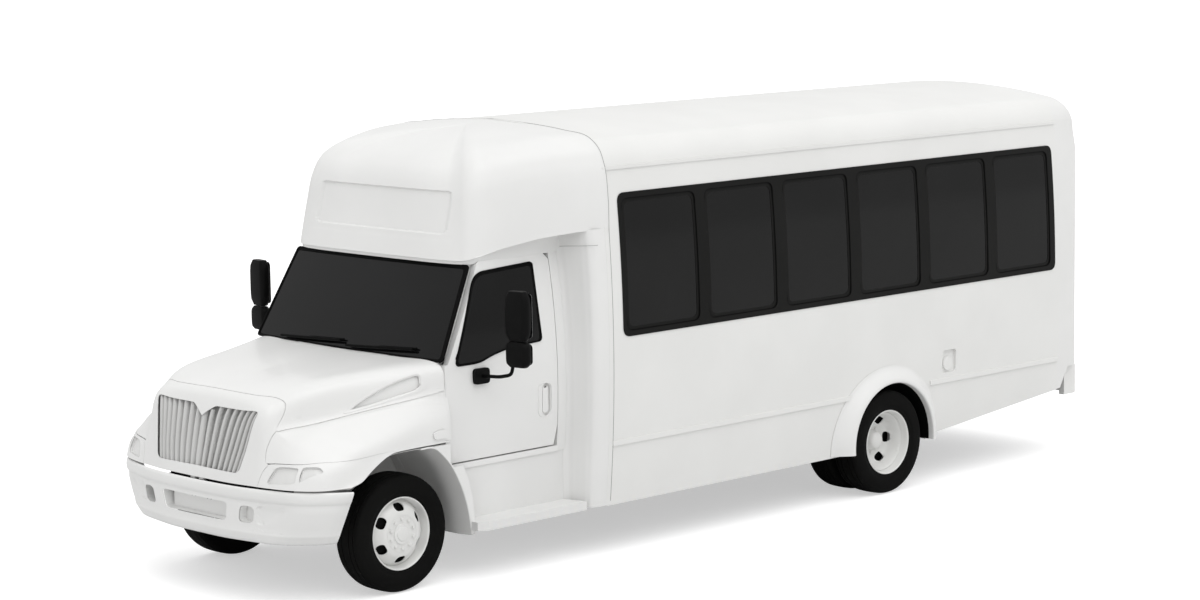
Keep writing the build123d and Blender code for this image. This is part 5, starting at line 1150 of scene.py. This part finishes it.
# ---------------------------------------------------------------- windows and cab
def barrel(z: Array) -> Array:
    """Half width of the body's sides at a height: the waist less the square of the rise over 22.6 m."""
    return 1.295 - (z - 1.560) ** 2 / 22.6


def cab_side(z: Array) -> Array:
    """Half width of the cab's side at a height: its waist less the square of the rise over 9.6 m."""
    return 1.064 - (z - 1.330) ** 2 / 9.6


@dataclass
class SideWindows:
    """The band of side windows of one side: a black frame round panes with rounded corners."""

    side: str
    sign: int
    panes: tuple[tuple[float, float], ...]
    low: float = 1.613
    high: float = 2.672
    pane_low: float = 1.655
    pane_high: float = 2.627
    border: float = 0.052  # both dark borders of a pane together

    def lay(self, u: Array, v: Array, lift: float) -> Array:
        """Lays station and height on the barrelled side, lifted off it."""
        return np.column_stack([self.sign * (barrel(v) + lift), at(0) + u, v])

    def build(self) -> None:
        """Builds the frame, and the panes with their beads and dark borders."""
        outline = rounded_rect(
            (self.panes[0][0] - .038, self.low), (self.panes[-1][1] + .067, self.high), .07, 8)
        holes = [rounded_rect((a, self.pane_low), (b, self.pane_high), .065, 8) for a, b in self.panes]
        cuts = np.linspace(self.low, self.high, 10)[1:-1]

        def keep(shape: Shape, part: str, finish: Finish, slot: str, **options: object) -> None:
            """Turns a sheet's faces outwards on the right side and builds it."""
            faces = shape.faces if self.sign > 0 else [f[::-1] for f in shape.faces]
            Shape(shape.points, faces, shape.count).build(
                f"window_{part}_{self.side}", finish, "body", slot, **options)

        keep(sheet_between(outline, holes, lambda u, v: self.lay(u, v, .006), cuts), "band", SATIN_BLACK,
             "window_frame", replaces=(f"window_frame_{self.side}",), thick=0.006, bevel=0.002)
        beads, panes, borders = Shape(), Shape(), Shape()
        for (a, b), hole in zip(self.panes, holes):
            beads.bead(self.lay(*hole.T, .003), 0.0042, 8)
            inner = grown(hole, (1 - self.border / (b - a), 1 - self.border / .972))
            border = sheet_between(hole, [inner], lambda u, v: self.lay(u, v, -.0015), cuts)
            borders.add(np.concatenate(border.points), border.faces)
            pane = sheet_between(hole, [], lambda u, v: self.lay(u, v, -.004), cuts)
            panes.add(np.concatenate(pane.points), pane.faces)
        beads.build(f"window_beads_{self.side}", SEAL_BLACK, "body", "window_frame")
        keep(borders, "borders", SATIN_BLACK, "window_frame", thick=0.0015)
        keep(panes, "panes", TINTED_GLASS, "glass", replaces=(f"window_glass_{self.side}",), thick=0.005)


@dataclass
class Cab:
    """Dressing of the cab: windscreen, wipers, door windows, handles and mirrors.

    low and top are station and height of the windscreen's foot and top.
    """

    low: tuple[float, float] = (0.402, 1.588)
    top: tuple[float, float] = (0.755, 2.228)
    half_low: float = 1.054
    half_top: float = 0.966
    bow: float = 0.045

    def screen(self, u: Array, v: Array, lift: float = 0.0) -> Array:
        """Places on the windscreen: u across in metres, v from 0 at its foot to 1 at its top.

        The middle stands ahead of the sides by bow times one less the square of u over the half width.
        """
        run = np.array([self.top[0] - self.low[0], self.top[1] - self.low[1]])
        out = np.array([-run[1], run[0]]) / np.hypot(*run)
        ahead = self.bow * (1 - (u / self.half_low) ** 2)
        y = self.low[0] + v * run[0] + lift * out[0] - ahead
        z = self.low[1] + v * run[1] + lift * out[1]
        return np.column_stack([u, at(0) + y, z])

    def build(self) -> None:
        """Builds the cab's dressing."""
        edge = rounded_outline(
            [(-self.half_low, 0.0, .03), (self.half_low, 0.0, .03), (self.half_top, 1.0, .03),
             (-self.half_top, 1.0, .03)], 5)
        clear = rounded_outline(
            [(-1.036, .02, .03), (1.02, .02, .03), (.93, .965, .03), (-.955, .965, .03)], 7)
        bends = np.linspace(-1.0, 1.0, 17)
        sheet_between(edge, [], self.screen, (), bends).build(
            "windscreen_pane", SCREEN_GLASS, "body", "glass", ("windscreen",), thick=0.006)
        sheet_between(edge, [clear], lambda u, v: self.screen(u, v, 0.0022), (), bends).build(
            "windscreen_border", SEAL_BLACK, "body", "window_frame", thick=0.0018)
        fine = np.concatenate([np.linspace(a, b, 9)[:-1] for a, b in zip(edge, np.roll(edge, -1, 0))])
        Shape().bead(self.screen(*fine.T, 0.002), 0.008, 8).build(
            "windscreen_seal", SEAL_BLACK, "body", "window_frame")
        wipers = Shape()
        for foot, tip in (((-.72, .030), (-.02, .075)), ((.06, .030), (.76, .08))):
            across, up = np.linspace(foot, tip, 12).T
            wipers.tube(self.screen(across, up, .030), 0.009, 8)
            wipers.tube(self.screen(across[5:] + .02, up[5:] + .02, .016), 0.007, 6)
        wipers.build("wipers", SEAL_BLACK, "body", "window_frame")
        for side, sign in SIDES:
            self.door(side, sign)
            self.mirror(side, sign)

    def door(self, side: str, sign: int) -> None:
        """Builds one door's window with its black edge and seal, and the door's handle."""
        body = f"cab_door_{side}"

        def keep(shape: Shape, part: str, finish: Finish, slot: str, **options: object) -> None:
            """Puts a part on its side of the cab and builds it."""
            shape.handed(sign).build(f"door_{part}_{side}", finish, body, slot, **options)

        window = rounded_outline(
            [(.512, 1.545, .045), (.748, 1.545, .07), (.866, 1.587, .12), (1.054, 1.622, .1),
             (1.355, 1.636, .03), (1.333, 2.207, .03), (.760, 2.178, .10)], 8)
        cuts = np.linspace(1.56, 2.2, 9)[1:-1]
        keep(sheet_between(window, [], side_plane(cab_side, .0035), cuts), "pane", SCREEN_GLASS, "glass",
             replaces=(f"cab_glass_{side}",), thick=0.004 * sign)
        keep(sheet_between(window, [grown(window, (.955, .945))], side_plane(cab_side, .0048), cuts),
             "pane_edge", SEAL_BLACK, "window_frame", thick=0.002 * sign)
        keep(Shape().bead(side_plane(cab_side, .004)(*window.T), 0.006, 8), "window_seal", SEAL_BLACK,
             "window_frame")
        grip = rounded_box(.046, .20, .022, 6) + (1.372, 1.20)
        keep(sheet_between(grip, [], side_plane(cab_side, .004), np.linspace(1.1, 1.3, 6)), "handle",
             CAB_WHITE, "cab_white", thick=0.016 * sign, bevel=.003)
        rim = rounded_box(.118, .250, .05, 8) + (1.366, 1.20)
        keep(Shape().bead(side_plane(cab_side, .001)(*rim.T), 0.004, 8), "handle_rim", CAB_WHITE, "cab_white")

    def mirror(self, side: str, sign: int) -> None:
        """Builds one mirror: two rounded heads with glasses, on a bent arm from the door."""
        def keep(shape: Shape, part: str, finish: Finish = MIRROR_BLACK, **options: object) -> None:
            """Puts a part on its side of the cab and builds it."""
            shape.handed(sign).build(
                f"mirror_{part}_{side}", finish, f"cab_door_{side}", "mirror_black", **options)

        centre, y = 1.465, at(.752)
        turn = math.radians(7)
        spin = np.array([(math.cos(turn), math.sin(turn)), (-math.sin(turn), math.cos(turn))])
        heads, glass = Shape(), Shape()
        for low, high, width, deep in ((1.740, 2.090, .205, .088), (1.552, 1.732, .205, .086)):
            plan = rounded_box(width, deep, .040, 7)
            rows = []
            for share in np.linspace(0, 1, 9):
                spun = plan * (1 - .30 * (2 * share - 1) ** 6) @ spin
                rows.append(np.column_stack([
                    centre + spun[:, 0], y + spun[:, 1], np.full(len(plan), low + share * (high - low))]))
            heads.grid(np.stack(rows), wrap=True, caps=True)
            face = rounded_box(width - .03, high - low - .03, .03, 6)
            across = face[:, 0]
            points = np.column_stack([
                centre + across * .9925, y + deep / 2 + .0012 + across * .122, (low + high) / 2 + face[:, 1]])
            glass.add(points, [list(range(len(face)))])
        keep(heads, "heads", replaces=(f"mirror_{side}",), bevel=0.010, sharp=50)
        keep(glass, "glass", MIRROR_GLASS, thick=0.0008)
        plate = rounded_rect((.672, 1.395), (.815, 1.508), .03, 6)
        keep(sheet_between(plate, [], side_plane(cab_side, .03)), "base", thick=0.028 * sign, bevel=.006)
        arm = smooth_path([(x, y, z) for x, z in (
            (1.075, 1.448), (1.16, 1.455), (1.30, 1.470), (1.385, 1.50), (1.405, 1.56), (1.405, 1.68),
            (1.405, 1.80))], 40)
        keep(Shape().tube(arm, 0.013, 12), "arm")


# ---------------------------------------------------------------- front cap, fairings and wheel-arch liners
@dataclass
class FrontCap:
    """The cap over the cab, with its flared sides and sign panel, and the coved fairings beside the cab.

    plan is the left half of the lower edge as (x, station), from the front's middle to the body.
    side_rise and front_rise are the vertical curves there, as shares of the way in and up to the
    ridge, and foot_rise is how far the lower edge has risen at a station.
    """

    rear: float = 1.848
    ridge_front: float = 1.60
    sign_half: float = 0.732
    sign: tuple[float, float] = (2.439, 2.745)
    sign_depth: float = 0.018
    sign_round: float = 0.05
    sign_slope: float = 0.007
    foot_z: float = 2.262
    ridge_z: float = 3.170
    plan: tuple = ((0, .664), (.40, .667), (.70, .680), (.86, .708), (.945, .745), (.985, .80), (1.012, .90),
                   (1.045, 1.05), (1.105, 1.31), (1.185, 1.59), (1.228, 1.72), (1.258, 1.80), (1.264, 1.848))
    side_rise: tuple = ((0, 0), (.004, .3), (.04, .66), (.072, .768), (.164, .882), (.372, .934), (.76, .985),
                        (1, 1))
    front_rise: tuple = ((0, 0), (.047, .21), (.085, .38), (.123, .546), (.155, .63), (.205, .705),
                         (.275, .765), (.41, .845), (.69, .945), (1, 1))
    foot_rise: tuple = ((.72, 0), (.776, .014), (1.01, .072), (1.31, .122), (1.60, .148), (1.81, .158))

    def outer(self, s: Array, t: Array) -> Array:
        """Points of the cap's outer face.

        A vertical curve starts at the plan's edge and ends on the ridge: its inward share and its
        rise are a blend of the side's and the front's own curves, and the plan gives where it starts.

        Args:
            s: places round the plan, 0 at the front's middle to 1 at the rear edge.
            t: places up the curve, 0 at the lower edge to 1 on the ridge.

        Returns:
            One row for each place of the left half.
        """
        plan = smooth_path(self.plan, 241)
        length = np.concatenate([[0], np.cumsum(np.linalg.norm(np.diff(plan, axis=0), axis=1))])
        x, y = (np.interp(s * length[-1], length, c) for c in plan.T)
        step = np.linspace(0, 1, 121)
        to_side = eased(np.clip((x - .78) / (1.16 - .78), 0, 1))
        inward, rise = (
            (1 - to_side) * np.interp(t, step, front) + to_side * np.interp(t, step, side)
            for front, side in zip(smooth_path(self.front_rise, 121).T, smooth_path(self.side_rise, 121).T))
        back = self.rear - self.ridge_front
        ridge = self.ridge_front + back * np.clip((y - .80) / (self.rear - .80), 0, 1)
        top = self.ridge_z - .030 * ((self.rear - ridge) / back) ** 1.5
        low = self.foot_z + np.interp(y, *zip(*self.foot_rise))
        z = low + (top - self.foot_z) * rise - (low - self.foot_z) * rise
        return np.column_stack([x * (1 - inward), at(0) + y + (ridge - y) * inward, z])

    def build(self) -> None:
        """Builds the cap with its sign recess and brow, its under-faces, the fairings and the seams."""
        sign_s = self.reach(self.sign_half)
        s = spans((0, sign_s - .016, 30), (sign_s - .016, sign_s + .006, 16), (sign_s + .006, 1, 70))
        share = np.linspace(0, 1, 401)
        low, high = np.interp(self.sign, self.outer(0 * share, share)[:, 2], share)
        t = spans((0, low - .006, 10), (low - .006, low + .03, 14), (low + .03, high - .03, 8),
                  (high - .03, high + .006, 14), (high + .006, 1, 46))
        both = np.concatenate([-s[:0:-1], s])
        grid_s, grid_t = (g.ravel() for g in np.meshgrid(both, t))
        skin = self.outer(np.abs(grid_s), grid_t)
        # the recess: sunk where the distance inside a rounded rectangle grows over its slope
        half_high = (self.sign[1] - self.sign[0]) / 2
        past_side = np.maximum(np.abs(skin[:, 0]) - (self.sign_half - self.sign_round), 0)
        past_top = np.maximum(np.abs(skin[:, 2] - sum(self.sign) / 2) - (half_high - self.sign_round), 0)
        gap = np.hypot(past_side, past_top) - self.sign_round
        front = np.clip((1.0 - (skin[:, 1] - at(0))) / .04, 0, 1)
        skin[:, 1] += self.sign_depth * eased(np.clip(-gap / self.sign_slope, 0, 1)) * front
        brow = np.clip(1 - np.abs(skin[:, 2] - (self.sign[0] - .032)) / .007, 0, 1)
        skin[:, 1] += .007 * brow * front * np.clip((self.sign_half + .09 - np.abs(skin[:, 0])) / .02, 0, 1)
        skin[:, 0] *= np.sign(grid_s + 1e-12)
        rows = skin.reshape(len(t), len(both), 3)
        Shape().grid(rows).build("cap_shell", MOULDED_WHITE, "body", "body_white", ("front_cap",),
                                 thick=0.005, sharp=55, merge=1e-4)
        self.underside(rows[0])
        self.fairings()
        self.seams()

    def underside(self, edge: Array) -> None:
        """Builds the faces that turn in under the cap's lower edge and down to the windscreen's top."""
        sign = np.sign(edge[:, 0] + 1e-9)
        none = np.zeros(len(edge))
        back = np.clip((edge[:, 1] - at(0) - .76) / .06, 0, 1)
        wall_x = np.minimum(np.abs(edge[:, 0]) - .006, .988)
        rim_y = edge[:, 1] + .012 * (1 - back)
        rim = np.column_stack([sign * wall_x, rim_y, edge[:, 2] - .004 * (1 - back) - .012 * back])
        foot = np.column_stack([sign * (wall_x - .012 * back), rim_y + .004, 2.236 + .02 * back])
        inner = foot + np.column_stack([-.05 * sign * back, .10 * (1 - back), none])
        cove = .5 * (edge + rim) + np.column_stack([none, none, .012 * back])
        Shape().grid(np.stack([edge, cove, rim, foot, inner])).build(
            "cap_underside", MOULDED_WHITE, "body", "body_white", thick=-0.004, sharp=40)

    def seams(self) -> None:
        """Builds grey tubes along the joints round the body and on the fairings, whose grey is painted shade
        of the seams' grooves, and the flange behind the cap.
        """
        t = np.linspace(0, 1, 90)
        behind = at(1.852)
        arch = self.outer(1 + 0 * t, t)
        low = np.linspace(.40, 2.41, 60)
        side = np.column_stack([barrel(low) + .0005, np.full(60, behind), low])
        path = np.concatenate([side[:-1], arch + (.001, .004, .001)])
        # a grey tube paints the shade of the groove between the cap and the body
        Shape().tube(path, 0.0022, 6).mirrored().build("body_seam", SEAM_SHADE_GREY, "body", "body_white")
        back = arch * (1, 0, 1) + (0, behind, 0)
        inner = back * (.955, 1, 1) - (0, 0, .045)
        Shape().grid(np.stack([arch, back, inner])).mirrored().build(
            "cap_flange", MOULDED_WHITE, "body", "body_white", thick=-0.004, sharp=40)
        x = np.linspace(1.03, 1.283, 24)
        y = np.interp(x, [1.03, 1.045, 1.09, 1.16, 1.22, 1.262, 1.283],
                      [1.575, 1.594, 1.612, 1.634, 1.655, 1.684, 1.72])
        line = np.column_stack([x, at(y) - .001, 2.300 + (x - 1.03) * .05])
        # a grey tube paints the shade of the groove where the fairing meets the cap
        Shape().tube(line, 0.0022, 6).mirrored().build("fairing_seam", SEAM_SHADE_GREY, "body", "body_white")

    def reach(self, x: float) -> float:
        """Place round the plan at which its half width is x."""
        s = np.linspace(0, 1, 801)
        return float(np.interp(x, self.outer(s, 0 * s)[:, 0], s))

    def fairings(self) -> None:
        """Builds the coves from the cab's rear edge out to the body: one plan curve at every height.

        The curve's share runs from the cab's side to the body's side, so its width follows both.
        """
        plan = smooth_path(
            [(-.14, 1.530), (-.02, 1.578), (.06, 1.602), (.25, 1.622), (.50, 1.642), (.74, 1.662),
             (.89, 1.686), (.96, 1.722), (.99, 1.765), (1.0, 1.860)], 44)
        z = np.linspace(.37, 2.425, 56)
        inner = np.where(z > .84, 1.058 - (z - 1.330) ** 2 / 9.6, 1.035) - .004
        outer = barrel(z) - .001
        x = inner[:, None] + (outer - inner)[:, None] * plan[:, 0][None]
        y = plan[:, 1][None]
        rows = np.stack([x, at(0) + y + 0 * x, z[:, None] + 0 * x], -1)
        Shape().grid(rows).mirrored().build("fairing_coves", MOULDED_WHITE, "body", "body_white",
                                            ("front_fairings",), thick=0.006, sharp=60)


@dataclass
class ArchLiners:
    """The linings of the front wheel arches: the front half tilts with the bonnet, the rest stays."""

    inner: float = 0.50
    outer: float = 1.122

    def strip(self, path: Sequence[Sequence[float]], inner: float, outer: float, count: int = 30) -> Shape:
        """A sheet along a side path of (station, height), straight across from inner to outer."""
        line = smooth_path(path, count)
        rows = [side_plane(lambda v: 0 * v + x)(*line.T) for x in np.linspace(inner, outer, 6)]
        return Shape().grid(np.stack(rows))

    def build(self) -> None:
        """Builds both linings of each side, the rear one's lip and outer face, and the inner wall."""
        front = ((-.565, .845), (-.48, .858), (-.38, .91), (-.27, .968), (-.16, 1.008), (.0, 1.018),
                 (.17, 1.018), (.30, 1.016), (.37, 1.014))
        self.strip(front, self.inner, 1.118).mirrored().build(
            "wing_liner", LINER_GREY, "bonnet", "cab_white", thick=-0.004, sharp=60)
        rear = ((.12, 1.012), (.234, 1.008), (.347, .923), (.46, .763), (.515, .64), (.548, .534),
                (.583, .329))
        sheet = self.strip(rear, .58, self.outer)
        sheet.points = [
            p - np.outer(np.clip((self.outer - p[:, 0]) / .05, 0, 1), (0, .030, 0)) for p in sheet.points]
        sheet.mirrored().build(
            "splash_liner", LINER_GREY, "body", "cab_white", ("splash_panels",), thick=-0.004, sharp=60)
        inset = tuple((u - .031, v) for u, v in rear[:5])
        self.strip(inset, self.inner - .018, .582, 16).mirrored().build(
            "splash_liner_inner", LINER_GREY, "body", "cab_white", thick=-0.004, sharp=60)
        lip = smooth_path(rear, 30)
        edge = np.column_stack([np.full(30, self.outer), at(0) + lip[:, 0] + .004, lip[:, 1]])
        Shape().tube(edge, .0065, 10).mirrored().build("splash_lip", CAB_WHITE, "body", "cab_white")
        panel = np.concatenate([
            lip[3:] + (.006, 0),
            [(.622, .33), (.618, .414), (.60, .60), (.56, .75), (.516, .843), (.401, .843), (.401, 1.012)]])
        wall = np.array([
            (-.50, .56), (.52, .56), (.50, .66), (.36, .90), (.20, 1.00), (-.10, 1.00), (-.50, .85)])
        for name, finish, outline, x, cuts in (
            ("splash_side", CAB_WHITE, panel, self.outer - .002, np.linspace(.4, .9, 6)),
            ("arch_wall", LINER_GREY, wall, self.inner - .02, ()),
        ):
            sheet_between(outline, [], side_plane(lambda v: 0 * v + x), cuts).mirrored().build(
                name, finish, "body", "cab_white", thick=0.004)


@dataclass
class RearArches:
    """The flares over the rear wheels, swelling softly out of the wall, and their dark linings."""

    station: float = 4.966
    height: float = 0.420
    low: float = 0.378
    lip: float = 0.485
    reach: float = 1.344

    def ring(self, radius: Array, count: int) -> tuple[Array, Array]:
        """Points along each circle about the arch's centre, from the rear foot over to the front one.

        Args:
            radius: one radius per row; its last column may widen the circle towards the front.
            count: how many points each circle gets.

        Returns:
            The stations and heights, one row per radius.
        """
        share = np.linspace(0, 1, count)[None, :]
        foot = np.arcsin((self.low - self.height) / radius[:, :1])
        turn = foot + (math.pi - 2 * foot) * share
        ahead = np.clip(-np.cos(turn), 0, 1) ** 2
        size = radius[:, :1] + radius[:, 1:] * ahead
        return at(self.station) + size * np.cos(turn), np.maximum(self.height + size * np.sin(turn), self.low)

    def build(self) -> None:
        """Builds the flares and the linings.

        Each flare leaves the wall flat, swells by a smooth step of the way in to the lip, turns over
        the lip on a quarter round and runs a little way back inside.
        """
        way = np.linspace(0, 1, 15)
        turn = np.linspace(0, math.pi / 2, 5)[1:]
        bend = .010  # the lip's round
        start = .622
        radius = np.concatenate([
            start - (start - self.lip - bend) * way, self.lip + bend * (1 - np.sin(turn)), [self.lip] * 2])
        widen = np.concatenate([.048 * (1 - way) ** 1.2, np.zeros(6)])
        swell = np.concatenate([way * way * (3 - 2 * way), np.ones(6)])
        inset = np.concatenate([np.zeros(15), bend * (1 - np.cos(turn)), [.030, .055]])
        y, z = self.ring(np.column_stack([radius, widen]), 73)
        wall = barrel(z) + .0015
        x = wall + (self.reach - wall) * swell[:, None] - inset[:, None]
        Shape().grid(np.stack([x, y, z], axis=-1)).mirrored().build(
            "rear_flares", CAB_WHITE, "body", "moulded_white", ("wheel_flares",), thick=-0.004, sharp=50)
        y, z = self.ring(np.array([[self.lip - .0025, 0.0]] * 8), 61)
        x = np.linspace(.80, self.reach - .052, 8)[:, None] + 0 * y
        Shape().grid(np.stack([x, y, z], axis=-1)).mirrored().build(
            "rear_arch_liner", SEAL_BLACK, "body", "chassis", thick=0.003, sharp=50)


@dataclass
class Scuttle:
    """The white ledge behind the bonnet's rear edge, on the cab."""

    bonnet: Bonnet
    depth: float = 0.014
    steps: tuple[float, ...] = (-.030, -.01, .012, .030)

    def build(self) -> None:
        """Builds the ledge: the bonnet's rear section, set in by the depth and swept 30 mm each way."""
        u = np.linspace(-5.95, 5.95, 121)
        ring = self.bonnet.lay(np.where(u == 0, 1e-6, u), 0 * u, -self.depth)
        rows = np.stack([ring + (0, step, 0) for step in self.steps])
        Shape().grid(rows).build("scuttle_ledge", CAB_WHITE, "body", "cab_white", thick=-0.004, sharp=60)


# ---------------------------------------------------------------- seats
@dataclass
class Seats:
    """The benches of the passenger body: padded cushions and backs on posts.

    rows lists side, station of the first bench's front and how many benches follow at the pitch.
    """

    rows: tuple = ((1, 2.020, 7), (-1, 3.020, 5))
    pitch: float = 0.800
    width: float = 0.900
    centre: float = 0.745
    floor: float = 1.0
    cushion_z: float = 1.33
    end_round: float = 0.035

    @staticmethod
    def pad(shape: Shape, x: tuple[float, float], outline: Sequence[tuple[float, float, float]]) -> None:
        """Adds one pad: a rounded side outline carried across from x[0] to x[1], drawn in at both ends.

        Towards each end the outline shrinks about its middle by a fifth of one less a sine, while the
        place moves out by the end's round in the same way, so the ends are round.
        """
        ring = rounded_outline(outline, 6)
        turn = np.linspace(0, math.pi / 2, 5)
        out = Seats.end_round * (1 - np.sin(turn))
        places = np.concatenate([x[0] + out[::-1], x[1] - out])
        scale = np.concatenate([1 - .20 * (1 - np.sin(turn)), 1 - .20 * (1 - np.cos(turn))])
        rows = [np.column_stack([np.full(len(ring), place), *grown(ring, s).T])
                for place, s in zip(places, scale)]
        shape.grid(np.stack(rows), wrap=True, caps=True)

    def bench(self, pads: Shape, posts: Shape, centre: float, front: float) -> None:
        """Adds one bench's cushion, back and posts."""
        lift, width = self.cushion_z, self.width
        edges = (centre - width / 2 + .012, centre + width / 2 - .012)
        cushion = ((-.005, .01, .03), (.43, .0, .03), (.44, .085, .04), (.0, .10, .05))
        back = ((.385, .07, .03), (.470, .03, .03), (.525, .70, .05), (.462, .72, .05))
        for outline in (cushion, back):
            self.pad(pads, edges, [(at(front + y), lift + z, r) for y, z, r in outline])
        for x in (centre - width * .28, centre + width * .33):
            posts.box((x - .03, at(front + .08), self.floor + .004), (x + .03, at(front + .38), lift + .012))

    def build(self) -> None:
        """Builds the benches' pads and legs."""
        pads, posts = Shape(), Shape()
        for side, first, count in self.rows:
            for row in range(count):
                self.bench(pads, posts, side * self.centre, first + row * self.pitch)
        cushions = pads.build("bench_pads", SEAT_CLOTH, "body", "seat_fabric", ("passenger_seats",), sharp=60)
        posts.build("bench_legs", CHASSIS_BLACK, "body", "chassis", bevel=0.004)


def main() -> None:
    """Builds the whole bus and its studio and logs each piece."""
    logging.basicConfig(level=logging.INFO)
    Studio().build()
    dress_nodes()
    bonnet = Bonnet()
    left = ((1.992, 2.762), (2.868, 3.622), (3.734, 4.487), (4.60, 5.339), (5.45, 6.215), (6.32, 7.053))
    assemblies = (
        bonnet, Scuttle(bonnet), ArchLiners(), RearArches(), FrontCap(), Seats(), FrontBumper(),
        *all_wheels(), SideWindows("left", 1, left), SideWindows("right", -1, left[1:]), Cab(),
    )
    for assembly in assemblies:
        assembly.build()
    for piece in BUILT:
        log.info("%s: %d faces, %s", piece.name, len(piece.data.polygons), piece.data.materials[0].name)
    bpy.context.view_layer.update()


if __name__ == "__main__":
    main()
